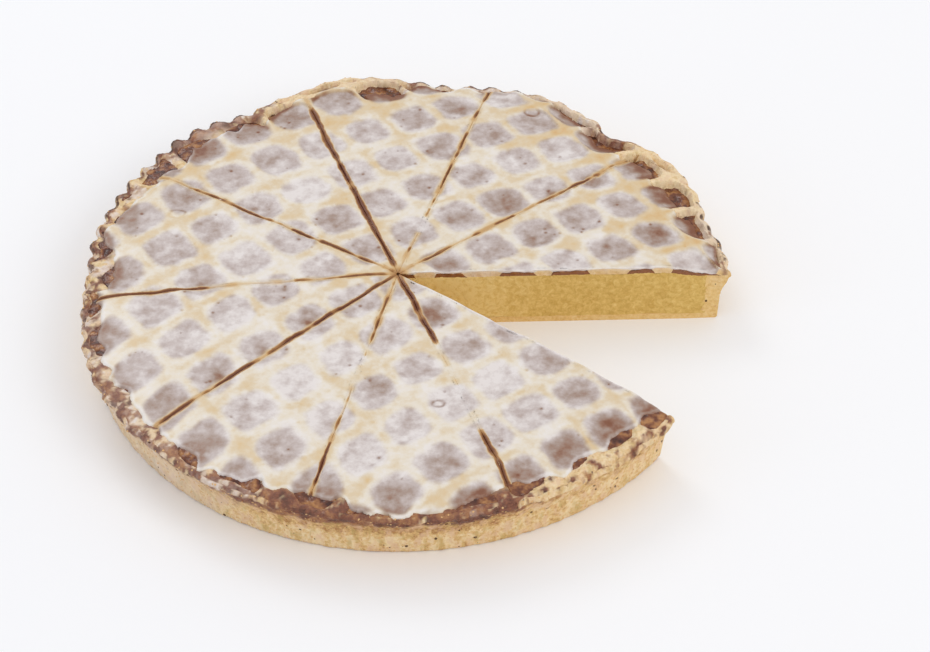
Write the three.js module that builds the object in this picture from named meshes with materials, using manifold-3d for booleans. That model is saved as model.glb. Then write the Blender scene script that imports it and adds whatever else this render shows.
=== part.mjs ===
// A round frangipane tart in a fluted pastry shell, cut into ten slices, with one slice taken away.
//
// Units are millimetres, with +Z up. The tart stands on the plane z = 0. Angles are in degrees,
// anticlockwise from +X when seen from above. Each slice has a pastry crust, an almond filling,
// a layer of jam and its share of the pastry lattice, and each of these is a closed solid.

import * as THREE from 'three';
import { mergeVertices } from 'three/addons/utils/BufferGeometryUtils.js';
import Module from 'manifold-3d';

// Clearance between neighbouring solids.
const CLEARANCE = 0.3;

// Pastry shell: a flat base inside a fluted wall that flares towards its rim.
const BASE_RADIUS = 132.4;
const BASE_THICKNESS = 3;
const WALL_TOP_RADIUS = 136;
const WALL_TOP = 23.2;
const CAVITY_BASE_RADIUS = 128;
const CAVITY_TOP_RADIUS = 129.5;
const FLUTES = 80;
const FLUTE_DEPTH = 0.8;
const STEPS_PER_FLUTE = 4;

// The filling rose as it baked: it is flat out to this radius and falls from there to the wall.
const FILLING_TOP = 26;
const FILLING_FLAT_RADIUS = 116;

// Jam spread over the filling and a little way over the wall.
const JAM_RADIUS = 133.4;
const JAM_THICKNESS = 1.4;

// Lattice: one sheet of pastry with rounded openings, domed at its edge, whose rim forms the lip.
const LIP_RADIUS = 139.4;
const LIP_TOP = 26.4;
const TART_TOP = 30;
const RIM_STEP_RADIUS = JAM_RADIUS + 0.5;
const OPENING_LIMIT = RIM_STEP_RADIUS - 0.4;
const OPENING_CENTRE_LIMIT = 132;

// The openings lie in rows. One row's spacing is 1, and these are parts of it.
const OPENING_ROWS = 8;
const OPENING_HALF_WIDTH = 0.37;
const OPENING_CORNER = 0.16;

// The rows are found step by step: the number of steps and the slope's step in millimetres.
const ROW_SEARCH_STEPS = 12;
const ROW_SLOPE_STEP = 0.01;

// The dome: at each distance inside the lip, how far the surface lies below the tart's top.
const DOME = [
  { inside: 8, drop: 1.7 },
  { inside: 17, drop: 0.4 },
  { inside: 28, drop: 0 },
];
const LIP_EDGE = 1;

// The lip is uneven: each entry raises or lowers its radius around one angle.
const LIP_WAVES = [
  { angle: 14, height: -2.2, spread: 5 },
  { angle: 30, height: 2.6, spread: 8 },
  { angle: 45, height: -5.5, spread: 3.5 },
  { angle: 63, height: 2.8, spread: 7 },
  { angle: 81, height: -1.8, spread: 6 },
  { angle: 99, height: 5.2, spread: 9 },
  { angle: 120, height: -2.6, spread: 4 },
  { angle: 133, height: 2.2, spread: 10 },
  { angle: 178, height: -3.8, spread: 14 },
];

// The cuts meet a little off the middle. The slice between the last cut and the first is gone.
const CUT_CENTRE = new THREE.Vector2(-2, 3.9);
const CUTS = [
  { angle: -0.8, width: 0.8 },
  { angle: 35, width: 1.2 },
  { angle: 70.8, width: 1.2 },
  { angle: 108.2, width: 2.6 },
  { angle: 145.8, width: 1.4 },
  { angle: 184.2, width: 1.2 },
  { angle: 221.1, width: 1.4 },
  { angle: 253.9, width: 1.2 },
  { angle: 288.1, width: 1.6 },
  { angle: 320.7, width: 0.8 },
];

// Round tools and solids without flutes have this many sides.
const ROUND_SEGMENTS = 80;

// Cutting tools reach past the tart by this much.
const REACH = 60;

const DOUGH = { color: 0xd9b683, roughness: 0.85, metalness: 0 };
const ALMOND_FILLING = { color: 0xcaa45f, roughness: 0.9, metalness: 0 };
const JAM = { color: 0x7d4a35, roughness: 0.3, metalness: 0 };
const GLAZED_DOUGH = { color: 0xe7d5b4, roughness: 0.5, metalness: 0 };

const wasm = await Module();
wasm.setup();

// Turns a closed three.js geometry into a solid that can be joined and cut.
function toSolid(geometry) {
  geometry.deleteAttribute('normal');
  geometry.deleteAttribute('uv');
  const merged = mergeVertices(geometry, 1e-4);
  return new wasm.Manifold(new wasm.Mesh({
    numProp: 3,
    vertProperties: new Float32Array(merged.attributes.position.array),
    triVerts: new Uint32Array(merged.index.array),
  }));
}

// Turns a solid back into a geometry.
function toGeometry(solid) {
  const mesh = solid.getMesh();
  const geometry = new THREE.BufferGeometry();
  geometry.setAttribute('position', new THREE.BufferAttribute(mesh.vertProperties, mesh.numProp));
  geometry.setIndex(new THREE.BufferAttribute(mesh.triVerts, 1));
  geometry.computeVertexNormals();
  return geometry;
}

// A wave around the rim that swells the radius at each flute, in millimetres.
function fluteHeight(angle) {
  return FLUTE_DEPTH * Math.cos(FLUTES * angle);
}

// The lip's radius at an angle in radians.
function lipRadius(angle) {
  let radius = LIP_RADIUS + fluteHeight(angle);
  for (const wave of LIP_WAVES) {
    const turn = THREE.MathUtils.radToDeg(angle) - wave.angle;
    const away = THREE.MathUtils.euclideanModulo(turn + 180, 360) - 180;
    radius += wave.height * Math.exp(-((away / wave.spread) ** 2));
  }
  return radius;
}

// A solid of revolution about Z. The profile lists [radius, height] from the bottom up.
function turned(profile, segments = ROUND_SEGMENTS) {
  const points = profile.map(([radius, height]) => new THREE.Vector2(radius, height));
  return new THREE.LatheGeometry(points, segments).rotateX(Math.PI / 2);
}

// A straight prism on an outline, between two heights.
function prism(outline, bottom, top) {
  const geometry = new THREE.ExtrudeGeometry(new THREE.Shape(outline), {
    depth: top - bottom,
    bevelEnabled: false,
  });
  return toSolid(geometry.translate(0, 0, bottom));
}

// The shell's outside is a flared cone whose wall is pushed in and out by the flutes.
function flutedBody() {
  const profile = [[0, 0], [BASE_RADIUS, 0], [WALL_TOP_RADIUS, WALL_TOP], [0, WALL_TOP]];
  const geometry = turned(profile, FLUTES * STEPS_PER_FLUTE);
  const position = geometry.attributes.position;
  for (let i = 0; i < position.count; i += 1) {
    const radius = Math.hypot(position.getX(i), position.getY(i));
    const angle = Math.atan2(position.getY(i), position.getX(i));
    const scale = radius < CAVITY_BASE_RADIUS ? 1 : 1 + fluteHeight(angle) / radius;
    position.setX(i, position.getX(i) * scale);
    position.setY(i, position.getY(i) * scale);
  }
  return toSolid(geometry);
}

// The whole round crust: the fluted body with a shallow pan cut out of its top.
function wholeCrust() {
  const slope = (CAVITY_TOP_RADIUS - CAVITY_BASE_RADIUS) / (WALL_TOP - BASE_THICKNESS);
  const cavity = turned([
    [0, BASE_THICKNESS],
    [CAVITY_BASE_RADIUS, BASE_THICKNESS],
    [CAVITY_TOP_RADIUS + slope * REACH, WALL_TOP + REACH],
    [0, WALL_TOP + REACH],
  ]);
  return flutedBody().subtract(toSolid(cavity));
}

// The whole round filling, which fills the crust up to its rim and rises inside it.
function wholeFilling() {
  return toSolid(turned([
    [0, BASE_THICKNESS + CLEARANCE],
    [CAVITY_BASE_RADIUS - CLEARANCE, BASE_THICKNESS + CLEARANCE],
    [CAVITY_TOP_RADIUS - CLEARANCE, WALL_TOP],
    ...risen(0),
  ]));
}

// The profile of the risen filling from its shoulder to the middle, lifted by some height.
function risen(lift) {
  return [[FILLING_FLAT_RADIUS, FILLING_TOP + lift], [0, FILLING_TOP + lift]];
}

// The whole round layer of jam, which follows the risen filling.
function wholeJam() {
  const bottom = WALL_TOP + CLEARANCE;
  return toSolid(turned([
    ...risen(CLEARANCE).reverse(),
    [CAVITY_TOP_RADIUS, bottom],
    [JAM_RADIUS, bottom],
    [JAM_RADIUS, bottom + JAM_THICKNESS],
    [CAVITY_TOP_RADIUS, bottom + JAM_THICKNESS],
    ...risen(CLEARANCE + JAM_THICKNESS),
  ]));
}

// The lattice was stretched unevenly when it was laid, so its rows of openings curve slightly.
// This gives the two row numbers at a place on the tart. Openings lie at whole numbers.
function rowNumbers(x, y) {
  const a = x / 100;
  const b = y / 100;
  return [
    -1.9 + 3.78 * a + 2.38 * b + 0.15 * a * a + 0.15 * a * b + 0.06 * b * b,
    -0.96 - 2.04 * a + 3.53 * b + 0.17 * a * a + 0.45 * a * b + 0.19 * b * b,
  ];
}

// The place on the tart that has the given two row numbers, found by Newton's method.
function placeOfRows(first, second) {
  const step = ROW_SLOPE_STEP;
  const place = new THREE.Vector2();
  for (let round = 0; round < ROW_SEARCH_STEPS; round += 1) {
    const [u, v] = rowNumbers(place.x, place.y);
    const [ux, vx] = rowNumbers(place.x + step, place.y);
    const [uy, vy] = rowNumbers(place.x, place.y + step);
    const a = (ux - u) / step;
    const b = (uy - u) / step;
    const c = (vx - v) / step;
    const d = (vy - v) / step;
    const determinant = a * d - b * c;
    place.x += (d * (first - u) - b * (second - v)) / determinant;
    place.y += (a * (second - v) - c * (first - u)) / determinant;
  }
  return place;
}

// The outline of one opening: a square with its corners cut off, bent with the rows.
function openingOutline(first, second) {
  const side = OPENING_HALF_WIDTH;
  const corner = OPENING_HALF_WIDTH - OPENING_CORNER;
  const square = [
    [side, -corner], [side, corner], [corner, side], [-corner, side],
    [-side, corner], [-side, -corner], [-corner, -side], [corner, -side],
  ];
  return square.map(([u, v]) => placeOfRows(first + u, second + v));
}

// All the openings of the lattice, kept inside the rim.
function openings() {
  const rows = OPENING_ROWS;
  const bottom = WALL_TOP;
  const top = TART_TOP + REACH;
  const tools = [];
  for (let first = -rows; first <= rows; first += 1) {
    for (let second = -rows; second <= rows; second += 1) {
      if (placeOfRows(first, second).length() < OPENING_CENTRE_LIMIT) {
        tools.push(prism(openingOutline(first, second), bottom, top));
      }
    }
  }
  const limit = toSolid(turned([[0, bottom], [OPENING_LIMIT, bottom], [OPENING_LIMIT, top], [0, top]]));
  return wasm.Manifold.union(tools).intersect(limit);
}

// The whole lattice sheet: domed on top, trimmed to the wavy lip, resting on the jam and the wall.
function wholeLattice() {
  const rimBottom = WALL_TOP + CLEARANCE;
  const overJam = CLEARANCE + JAM_THICKNESS + CLEARANCE;
  const dome = toSolid(turned([
    ...risen(overJam).reverse(),
    [CAVITY_TOP_RADIUS, WALL_TOP + overJam],
    [RIM_STEP_RADIUS, WALL_TOP + overJam],
    [RIM_STEP_RADIUS, rimBottom],
    [LIP_RADIUS + REACH, rimBottom],
    [LIP_RADIUS + REACH, LIP_TOP - LIP_EDGE],
    [LIP_RADIUS - LIP_EDGE, LIP_TOP],
    ...DOME.map(({ inside, drop }) => [LIP_RADIUS - inside, TART_TOP - drop]),
    [0, TART_TOP],
  ]));
  const outline = [];
  const steps = FLUTES * STEPS_PER_FLUTE;
  for (let i = 0; i < steps; i += 1) {
    const angle = (2 * Math.PI * i) / steps;
    const radius = lipRadius(angle);
    outline.push(new THREE.Vector2(radius * Math.cos(angle), radius * Math.sin(angle)));
  }
  return prism(outline, 0, TART_TOP + REACH).intersect(dome).subtract(openings());
}

// A cut's face on the side of the slice: a point on it and its direction away from the middle.
function cutFace(cut, side) {
  const angle = THREE.MathUtils.degToRad(cut.angle);
  const direction = new THREE.Vector2(Math.cos(angle), Math.sin(angle));
  const across = new THREE.Vector2(-direction.y, direction.x).multiplyScalar((side * cut.width) / 2);
  return { point: CUT_CENTRE.clone().add(across), direction };
}

// The wedge between two neighbouring cuts, less half of each cut's width.
function sliceWedge(first, second) {
  const start = cutFace(first, 1);
  const end = cutFace(second, -1);
  const between = end.point.clone().sub(start.point);
  const tipDistance = between.cross(end.direction) / start.direction.cross(end.direction);
  const far = LIP_RADIUS + REACH;
  const tip = start.point.clone().addScaledVector(start.direction, tipDistance);
  const outline = [
    tip,
    start.point.clone().addScaledVector(start.direction, far),
    end.point.clone().addScaledVector(end.direction, far),
  ];
  return prism(outline, -REACH, TART_TOP + REACH);
}

// Cutting a lattice leaves loose crumbs of pastry beside the cut. The slice keeps its largest body.
function largestBody(solid) {
  const bodies = solid.decompose();
  return bodies.reduce((largest, body) => (body.volume() > largest.volume() ? body : largest));
}

const layers = [
  { name: 'crust', solid: wholeCrust(), finish: DOUGH },
  { name: 'frangipane', solid: wholeFilling(), finish: ALMOND_FILLING },
  { name: 'jam', solid: wholeJam(), finish: JAM },
  { name: 'lattice', solid: wholeLattice(), finish: GLAZED_DOUGH },
];

const tart = new THREE.Group();
for (let slice = 1; slice < CUTS.length; slice += 1) {
  const wedge = sliceWedge(CUTS[slice - 1], CUTS[slice]);
  for (const layer of layers) {
    const solid = largestBody(layer.solid.intersect(wedge));
    const mesh = new THREE.Mesh(toGeometry(solid), new THREE.MeshStandardMaterial(layer.finish));
    mesh.name = `${layer.name}_${slice}`;
    tart.add(mesh);
  }
}

// The middle of the tart's bounding box stands over the origin.
const centre = new THREE.Box3().setFromObject(tart).getCenter(new THREE.Vector3());
tart.position.set(-centre.x, -centre.y, 0);

export default tart;
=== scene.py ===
"""A frangipane tart cut into ten slices, with one slice taken away.

The tart is a stack of layers, and each layer is one class below: a fluted shortcrust shell, the
almond filling, jam spread over it, a pastry lattice pressed into the jam, and thin water icing
poured over everything. Every slice has its own piece of each layer.

Plan sizes are millimetres from the tart's own axis, and angles are anticlockwise from +X. They
become metres in the frame's coordinates when a mesh is made.
"""

import logging
import math
from dataclasses import dataclass, field
from enum import Enum

import bpy
import numpy as np
from mathutils import Matrix, Vector


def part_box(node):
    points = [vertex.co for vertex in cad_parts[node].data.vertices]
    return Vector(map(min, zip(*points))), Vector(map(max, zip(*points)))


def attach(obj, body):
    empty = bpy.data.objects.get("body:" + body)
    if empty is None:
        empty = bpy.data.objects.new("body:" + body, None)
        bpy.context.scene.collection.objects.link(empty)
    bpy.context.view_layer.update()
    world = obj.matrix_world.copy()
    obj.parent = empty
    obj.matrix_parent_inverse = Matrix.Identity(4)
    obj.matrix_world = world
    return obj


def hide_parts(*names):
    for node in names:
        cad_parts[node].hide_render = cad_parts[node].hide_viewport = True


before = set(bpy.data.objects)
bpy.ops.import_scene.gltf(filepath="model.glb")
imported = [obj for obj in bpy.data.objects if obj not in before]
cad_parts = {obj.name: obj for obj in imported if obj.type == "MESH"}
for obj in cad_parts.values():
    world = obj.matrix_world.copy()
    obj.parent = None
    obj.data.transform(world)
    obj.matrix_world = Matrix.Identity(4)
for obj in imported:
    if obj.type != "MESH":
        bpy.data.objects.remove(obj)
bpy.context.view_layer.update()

logging.basicConfig(level=logging.INFO, format="%(message)s")
LOG = logging.getLogger("frangipane_tart")

MM = 0.001

Array = np.ndarray
Span = tuple[float, float]
Table = tuple[Span, ...]
Ramp = tuple[tuple[float, str], ...]
Tree = bpy.types.NodeTree
Node = bpy.types.Node
Socket = bpy.types.NodeSocket
Material = bpy.types.Material
Piece = bpy.types.Object


def linear(colour: str) -> tuple[float, float, float, float]:
    """Turn a colour written as sRGB hex into the linear values that shaders take.

    Args:
        colour: Six hex digits after a hash, such as "#D9B683".

    Returns:
        Red, green, blue and an alpha of 1.
    """
    parts = [int(colour[i : i + 2], 16) / 255 for i in (1, 3, 5)]
    red, green, blue = (p / 12.92 if p <= 0.04045 else ((p + 0.055) / 1.055) ** 2.4 for p in parts)
    return red, green, blue, 1.0


def plug(tree: Tree, node: Node, inputs: dict) -> None:
    """Set a node's inputs.

    Args:
        tree: The node's tree.
        node: The node.
        inputs: Values, output sockets, or nodes whose first output is meant, by name or index.
    """
    for name, value in inputs.items():
        if isinstance(value, Node):
            value = next(output for output in value.outputs if not output.is_unavailable)
        if isinstance(value, Socket):
            tree.links.new(value, node.inputs[name])
        else:
            node.inputs[name].default_value = value


def add_node(tree: Tree, kind: str, inputs: dict | None = None, ramp: Ramp = (), **settings: object) -> Node:
    """Add one node with its settings, its values and its links.

    Args:
        tree: The shader or geometry tree that the node joins.
        kind: The node's Blender type name.
        inputs: What its inputs take, as in plug.
        ramp: Places and hex colours, for a node that holds a colour ramp.
        settings: The node's own properties.

    Returns:
        The new node.
    """
    node = tree.nodes.new(kind)
    for name, value in settings.items():
        setattr(node, name, value)
    plug(tree, node, inputs or {})
    for i, (place, colour) in enumerate(ramp):
        marks = node.color_ramp.elements
        mark = marks[i] if i < 2 else marks.new(1.0)
        mark.position = place
        mark.color = linear(colour)
    return node


def smooth_step(low: float | Array, high: float | Array, value: Array) -> Array:
    """Rise smoothly from 0 at low to 1 at high."""
    t = np.clip((value - low) / (high - low), 0.0, 1.0)
    return t * t * (3 - 2 * t)


def smooth_max(a: Array, b: Array, blend: float) -> Array:
    """Take the larger of two surfaces, rounding the crease between them over a blend height."""
    near = np.clip(blend - np.abs(a - b), 0.0, None)
    return np.maximum(a, b) + near * near / (4 * blend)


class SmoothNoise:
    """Repeatable soft noise on a plane, for what is uneven on handmade food.

    It is smooth between random numbers in a square table of cells, which repeats. The origin keeps
    the middle of the tart off the table's corner.
    """

    cells = 128
    origin = (31.7, 47.3)

    def __init__(self, seed: int) -> None:
        """Fill the table of random heights.

        Args:
            seed: The number that fixes the pattern.
        """
        self.table = np.random.default_rng(seed).uniform(-1, 1, (self.cells, self.cells))

    def patch(self, x: Array, y: Array | float, size: float) -> Array:
        """Noise between -1 and 1 whose lumps are about the given size, in the units of x and y.

        Args:
            x: Places along one way.
            y: Places along the other.
            size: The lumps' size.

        Returns:
            The noise at each place.
        """
        gx, gy = x / size + self.origin[0], y / size + self.origin[1]
        ix, iy = np.floor(gx).astype(int), np.floor(gy).astype(int)
        fx, fy = gx - ix, gy - iy
        fx, fy = (f * f * f * (f * (f * 6 - 15) + 10) for f in (fx, fy))
        steps = [(i, j) for j in (0, 1) for i in (0, 1)]
        corner = [self.table[(ix + i) % self.cells, (iy + j) % self.cells] for i, j in steps]
        low = corner[0] + (corner[1] - corner[0]) * fx
        high = corner[2] + (corner[3] - corner[2]) * fx
        return low + (high - low) * fy

    def rough(self, x: Array, y: Array | float, size: float, octaves: int = 3) -> Array:
        """Noise whose larger lumps carry smaller ones, each turned so that no grid shows.

        Args:
            x: Places along one way.
            y: Places along the other.
            size: The largest lumps' size.
            octaves: How many sizes of lump there are.

        Returns:
            The noise at each place, between -1 and 1.
        """
        total, weight, reach = np.zeros_like(x), 1.0, 0.0
        for _ in range(octaves):
            x, y = 0.8 * x - 0.6 * y, 0.6 * x + 0.8 * y
            total = total + weight * self.patch(x, y, size)
            reach += weight
            weight, size = weight * 0.5, size * 0.47
        return total / reach

    def per_cell(self, column: Array, row: Array) -> Array:
        """One number between -1 and 1 for each whole column and row."""
        place = (np.round(number).astype(int) % self.cells for number in (column, row))
        return self.table[tuple(place)]


class Around:
    """A number that changes around the tart, given at some angles in degrees."""

    def __init__(self, *points: tuple[float, float]) -> None:
        """Keep the angles and the numbers, in order of angle."""
        self.degrees, self.values = np.array(points, float).T

    def at(self, angle: Array) -> Array:
        """The number at angles in radians, joined up around the circle."""
        return np.interp(np.degrees(angle), self.degrees, self.values, period=360)


@dataclass(frozen=True)
class Cut:
    """One knife cut from the middle to the rim.

    The icing ran together again over the stretches named in healed, each from one distance to
    another along the cut. An open face is a cut beside the missing slice. The table browned gives
    how much crumb and jam the knife dragged up, from 0 to 1, at distances along the cut, and with it
    how dark the painted shade in the open cut is.
    """

    angle: float
    width: float
    browned: Table = ((0, 0.6),)
    healed: Table = ()
    open_face: bool = False
    seam_fade: float = 3.0

    def dragged(self, along: Array) -> Array:
        """How brown the cut is at distances along it, from 0 to 1."""
        distances, levels = zip(*self.browned)
        return np.interp(along, distances, levels)

    def closed(self, along: Array) -> Array:
        """How far the icing has closed over the cut, from 0 to 1, at distances along it.

        Args:
            along: Distances from where the cuts meet.

        Returns:
            The closing at each distance.
        """
        shut = np.full_like(along, float(self.open_face))
        for start, end in self.healed:
            begun, ended = (
                smooth_step(place - self.seam_fade, place + self.seam_fade, along) for place in (start, end)
            )
            shut = np.maximum(shut, begun * (1 - ended))
        return shut


@dataclass(frozen=True)
class Wave:
    """A swell or dip of the lip around one angle."""

    angle: float
    height: float
    spread: float


@dataclass
class Lattice:
    """The pastry lattice: one sheet with rounded openings in two sets of slightly curved rows."""

    pitch_first: float = 22.4
    pitch_second: float = 24.5
    opening: float = 8.8
    opening_varies: float = 0.6
    squareness: float = 3.3
    sway: float = 1.0
    sway_length: float = 19.0
    ragged_edge: float = 0.45
    crossing_at: Span = (10.5, 14.0)
    spread: SmoothNoise = field(default_factory=lambda: SmoothNoise(23))

    def rows(self, x: Array, y: Array) -> tuple[Array, Array]:
        """The two row numbers at each place. Openings lie at whole numbers.

        A row's number grows by about 3.8 in each decimetre along x, or along y, and the small terms
        bend the rows.

        Args:
            x: The places' x.
            y: The places' y.

        Returns:
            The number in each of the two sets of rows.
        """
        a, b = x / 100, y / 100
        first = -1.9 + 3.78 * a + 2.38 * b + 0.15 * a * a + 0.15 * a * b + 0.06 * b * b
        second = -0.96 - 2.04 * a + 3.53 * b + 0.17 * a * a + 0.45 * a * b + 0.19 * b * b
        return first, second

    def pastry(self, x: Array, y: Array) -> tuple[Array, Array, Array]:
        """Measure the lattice at each place.

        Args:
            x: The places' x.
            y: The places' y.

        Returns:
            The distance past the edge of the nearest opening, which is negative inside it, then
            one random number for that opening, then how near a crossing the place is.
        """
        sway_x = self.sway * self.spread.patch(x, y, self.sway_length)
        sway_y = self.sway * self.spread.patch(y + 400, x, self.sway_length)
        first, second = self.rows(x + sway_x, y + sway_y)
        column, row = np.round(first), np.round(second)
        across = np.abs(first - column) * self.pitch_first
        down = np.abs(second - row) * self.pitch_second
        power = self.squareness
        away = (across**power + down**power) ** (1 / power)
        chance = self.spread.per_cell(column, row)
        ragged = self.ragged_edge * self.spread.rough(x, y, 5.0)
        crossing = smooth_step(*self.crossing_at, away)
        return away - self.opening - self.opening_varies * chance + ragged, chance, crossing


@dataclass
class TartPlan:
    """The tart seen from above: its lip, its flutes, its cuts and where the icing ends."""

    base_radius: float = 132.4
    wall_radius: float = 136.0
    wall_top: float = 23.2
    lip_radius: float = 139.2
    flutes: int = 80
    blunt: float = 0.7
    hairline: float = 0.02
    sprung_gap: float = 0.06
    torn_gap: float = 0.07
    straying: float = 0.35
    opens_above: float = 0.64
    flutes_fade: Span = (2.0, 7.0)
    shuts_at: Span = (108.0, 122.0)
    tip_zone: float = 4.0
    meeting_stain: float = 0.52
    meeting_width: float = 5.0
    stains_fade_at: Span = (1.0, 8.0)
    tan_stain: float = 0.34
    tan_width: float = 1.4
    # The chips in the lip's edge: how deep, which row of the noise, and how long.
    chips: tuple[tuple[float, float, float], ...] = ((0.5, 0, 9.0), (0.4, 7, 3.7))
    lattice: Lattice = field(default_factory=Lattice)
    cut_centre: Span = (-2.0, 3.9)
    cuts: tuple[Cut, ...] = (
        Cut(-0.8, 0.8, open_face=True),
        Cut(35.0, 1.0, ((20, 0.65), (60, 0.54), (90, 0.76))),
        Cut(70.8, 0.9, ((20, 0.62), (50, 0.56), (60, 0.64)), ((27, 46),)),
        Cut(108.2, 2.4, ((0, 0.75), (60, 0.98), (100, 0.8))),
        Cut(145.8, 1.5, ((0, 0.66), (70, 0.78), (90, 0.62))),
        Cut(184.2, 1.5, ((0, 0.62), (40, 0.62), (48, 0.4), (74, 0.4), (82, 0.76))),
        Cut(221.1, 1.7, ((0, 0.72), (40, 0.95), (100, 0.82))),
        Cut(253.9, 1.0, ((0, 0.62), (36, 0.6), (48, 0.4), (84, 0.42), (105, 0.5), (112, 0.9)), ((46, 72),)),
        Cut(288.1, 2.4, ((0, 0.93), (46, 0.95), (60, 0.5), (98, 0.5), (104, 0.8)), ((47, 100),)),
        Cut(320.7, 0.8, open_face=True),
    )
    waves: tuple[Wave, ...] = (
        Wave(14, -2.2, 5), Wave(30, 2.6, 8), Wave(45, -5.5, 3.5), Wave(63, 2.8, 7), Wave(81, -1.8, 6),
        Wave(99, 5.2, 9), Wave(120, -2.6, 4), Wave(133, 2.2, 10), Wave(178, -3.8, 14),
    )
    # How far the wall's foot spread past the base radius, in millimetres, by angle.
    foot: Around = Around((0, 2.4), (12, 1.6), (30, 0), (330, 0), (350, 2))
    # How thick and raised the lip is around the tart, from 0 to 1, by angle.
    ridge: Around = Around(
        (0, 1), (60, 1), (65, 0.35), (86, 0.4), (90, 1), (117, 1), (123, 0.2), (143, 0.2), (147, 0.7),
        (151, 0.15), (200, 0), (320, 0.1), (345, 1),
    )
    # How deep the flutes bite into the lip, in millimetres, by angle.
    lip_flute: Around = Around(
        (0, 0.6), (60, 0.5), (66, 1.1), (88, 1.0), (94, 0.4), (116, 0.5), (124, 1.5), (142, 1.7),
        (160, 1.2), (200, 0.6), (240, 0.25), (300, 0.2), (345, 0.5),
    )
    # How far inside the lip the icing ends, in millimetres, by angle.
    icing_inset: Around = Around(
        (0, 3), (7, 4), (10, 12), (17, 12), (21, 15), (27, 16), (31, 18), (36, 17), (41, 16), (47, 13),
        (51, 9), (56, 8), (58, 5), (64, 3), (86, 4), (91, 18), (97, 18), (100, 8), (108, 8), (113, 12),
        (120, 12), (122, 8), (125, 13), (136, 13), (140, 14), (145, 13), (148, 12), (154, 10), (157, 6),
        (164, 6), (168, 11), (176, 10), (180, 8), (185, 9), (191, 8), (196, 6), (203, 6.5), (204, 3),
        (206, 3), (208, 8), (212, 6), (217, 5), (220, 8), (230, 8.5), (232, 3.5), (240, 3), (243, 8),
        (257, 9), (260, 3.5), (272, 3), (277, 6), (285, 9), (290, 9), (295, 8), (297, 5), (299, 6),
        (302, 9), (306, 6), (309, 10), (314, 10), (317, 9), (321, 9), (340, 6),
    )
    edge_noise: SmoothNoise = field(default_factory=lambda: SmoothNoise(11))

    def lip(self, angle: Array) -> Array:
        """The lip's radius without its flutes.

        Args:
            angle: Angles in radians.

        Returns:
            The radius at each angle.
        """
        radius = np.full_like(angle, self.lip_radius)
        for wave in self.waves:
            away = (np.degrees(angle) - wave.angle + 180) % 360 - 180
            radius = radius + wave.height * np.exp(-((away / wave.spread) ** 2))
        arc = angle * self.lip_radius
        for depth, row, length in self.chips:
            radius = radius + depth * self.edge_noise.patch(arc, row, length)
        return radius

    def flute(self, angle: Array) -> Array:
        """The tin's flutes as a wave between -1 and 1."""
        return np.cos(self.flutes * angle)

    def flute_fade(self, inside: Array) -> Array:
        """How much of the flutes' depth is left at distances inside the lip's edge."""
        return 1 - smooth_step(*self.flutes_fade, inside)

    def reach(self, bearing: Array, radius: float | Array) -> Array:
        """The distance from where the cuts meet to a circle around the tart's axis.

        Args:
            bearing: Directions from where the cuts meet, in radians.
            radius: The circle's radius, or one for each direction.

        Returns:
            Distances along those directions.
        """
        cx, cy = self.cut_centre
        towards = cx * np.cos(bearing) + cy * np.sin(bearing)
        return -towards + np.sqrt(towards**2 + radius**2 - cx * cx - cy * cy)

    def lip_reach(self, bearing: Array) -> Array:
        """The distance from where the cuts meet to the lip.

        Args:
            bearing: Directions from where the cuts meet, in radians.

        Returns:
            The distance in each direction.
        """
        cx, cy = self.cut_centre
        far = self.reach(bearing, self.lip_radius)
        angle = np.arctan2(cy + far * np.sin(bearing), cx + far * np.cos(bearing))
        return self.reach(bearing, self.lip(angle))

    def wander(self, cut: int, along: Array) -> Array:
        """How far a cut strays sideways from its straight line."""
        return self.straying * self.edge_noise.patch(along, 53.0 * (cut + 1), 13.0)

    def gap(self, cut: int, along: Array, heal: bool) -> Array:
        """A cut's width along its length.

        The icing is torn back from the cut. The soft layers below it sprang nearly shut.

        Args:
            cut: The cut's number.
            along: Distances from where the cuts meet.
            heal: True for the icing, which has run together over some stretches.

        Returns:
            The width at each distance.
        """
        width = self.cuts[cut].width
        if not heal:
            shut = smooth_step(*self.shuts_at, along)
            return self.hairline + self.sprung_gap * width * (1 - shut)
        ragged = 1.0 + 0.5 * self.edge_noise.rough(along, 17.0 * (cut + 1), 8.0, 2)
        torn = self.opened(cut, along) * ragged
        return self.hairline + self.torn_gap * width * torn * (1 - self.mended(cut, along))

    def opened(self, cut: int, along: Array) -> Array:
        """How far a cut stands open and dark with painted shade, from 0 to 1. Crumb bridges it in places."""
        noise = self.edge_noise.rough(along + 300, 23.0 * (cut + 1), 8.0, 2)
        return smooth_step(-0.25, 0.35, noise + 1.8 * (self.cuts[cut].dragged(along) - self.opens_above))

    def stained_and_shaded(self, cut: int, along: Array, edge: Array) -> Array:
        """How brown the icing is beside a cut, from 0 to 1: jam the knife dragged up, with painted shade
        where the cut stands open.

        Args:
            cut: The cut's number.
            along: Distances from where the cuts meet.
            edge: Distances from the cut's torn edge.

        Returns:
            The stain and painted shade at each place.
        """
        row = 41.0 * (cut + 1)
        level = self.cuts[cut].dragged(along)
        torn = 1 + 0.5 * self.edge_noise.rough(along, row, 4.5, 3)
        half = (0.35 + 0.3 * self.cuts[cut].width) * (0.55 + 0.45 * level) * torn
        # Painted shade: the cut is painted darker where it stands open.
        dark = np.clip(1.7 - edge / half, 0, 1) * (0.3 + 0.7 * self.opened(cut, along))
        wide = self.tan_width * (1 + 0.5 * self.edge_noise.rough(along + 600, row, 6.0, 2))
        patchy = np.clip(0.45 + 1.1 * self.edge_noise.patch(along + 900, row, 6.5), 0, 1)
        tan = self.tan_stain * patchy * np.clip(1.6 - edge / wide, 0, 1)
        return np.maximum(dark * (0.5 + 0.5 * level), tan) * (1 - self.mended(cut, along))

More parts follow.
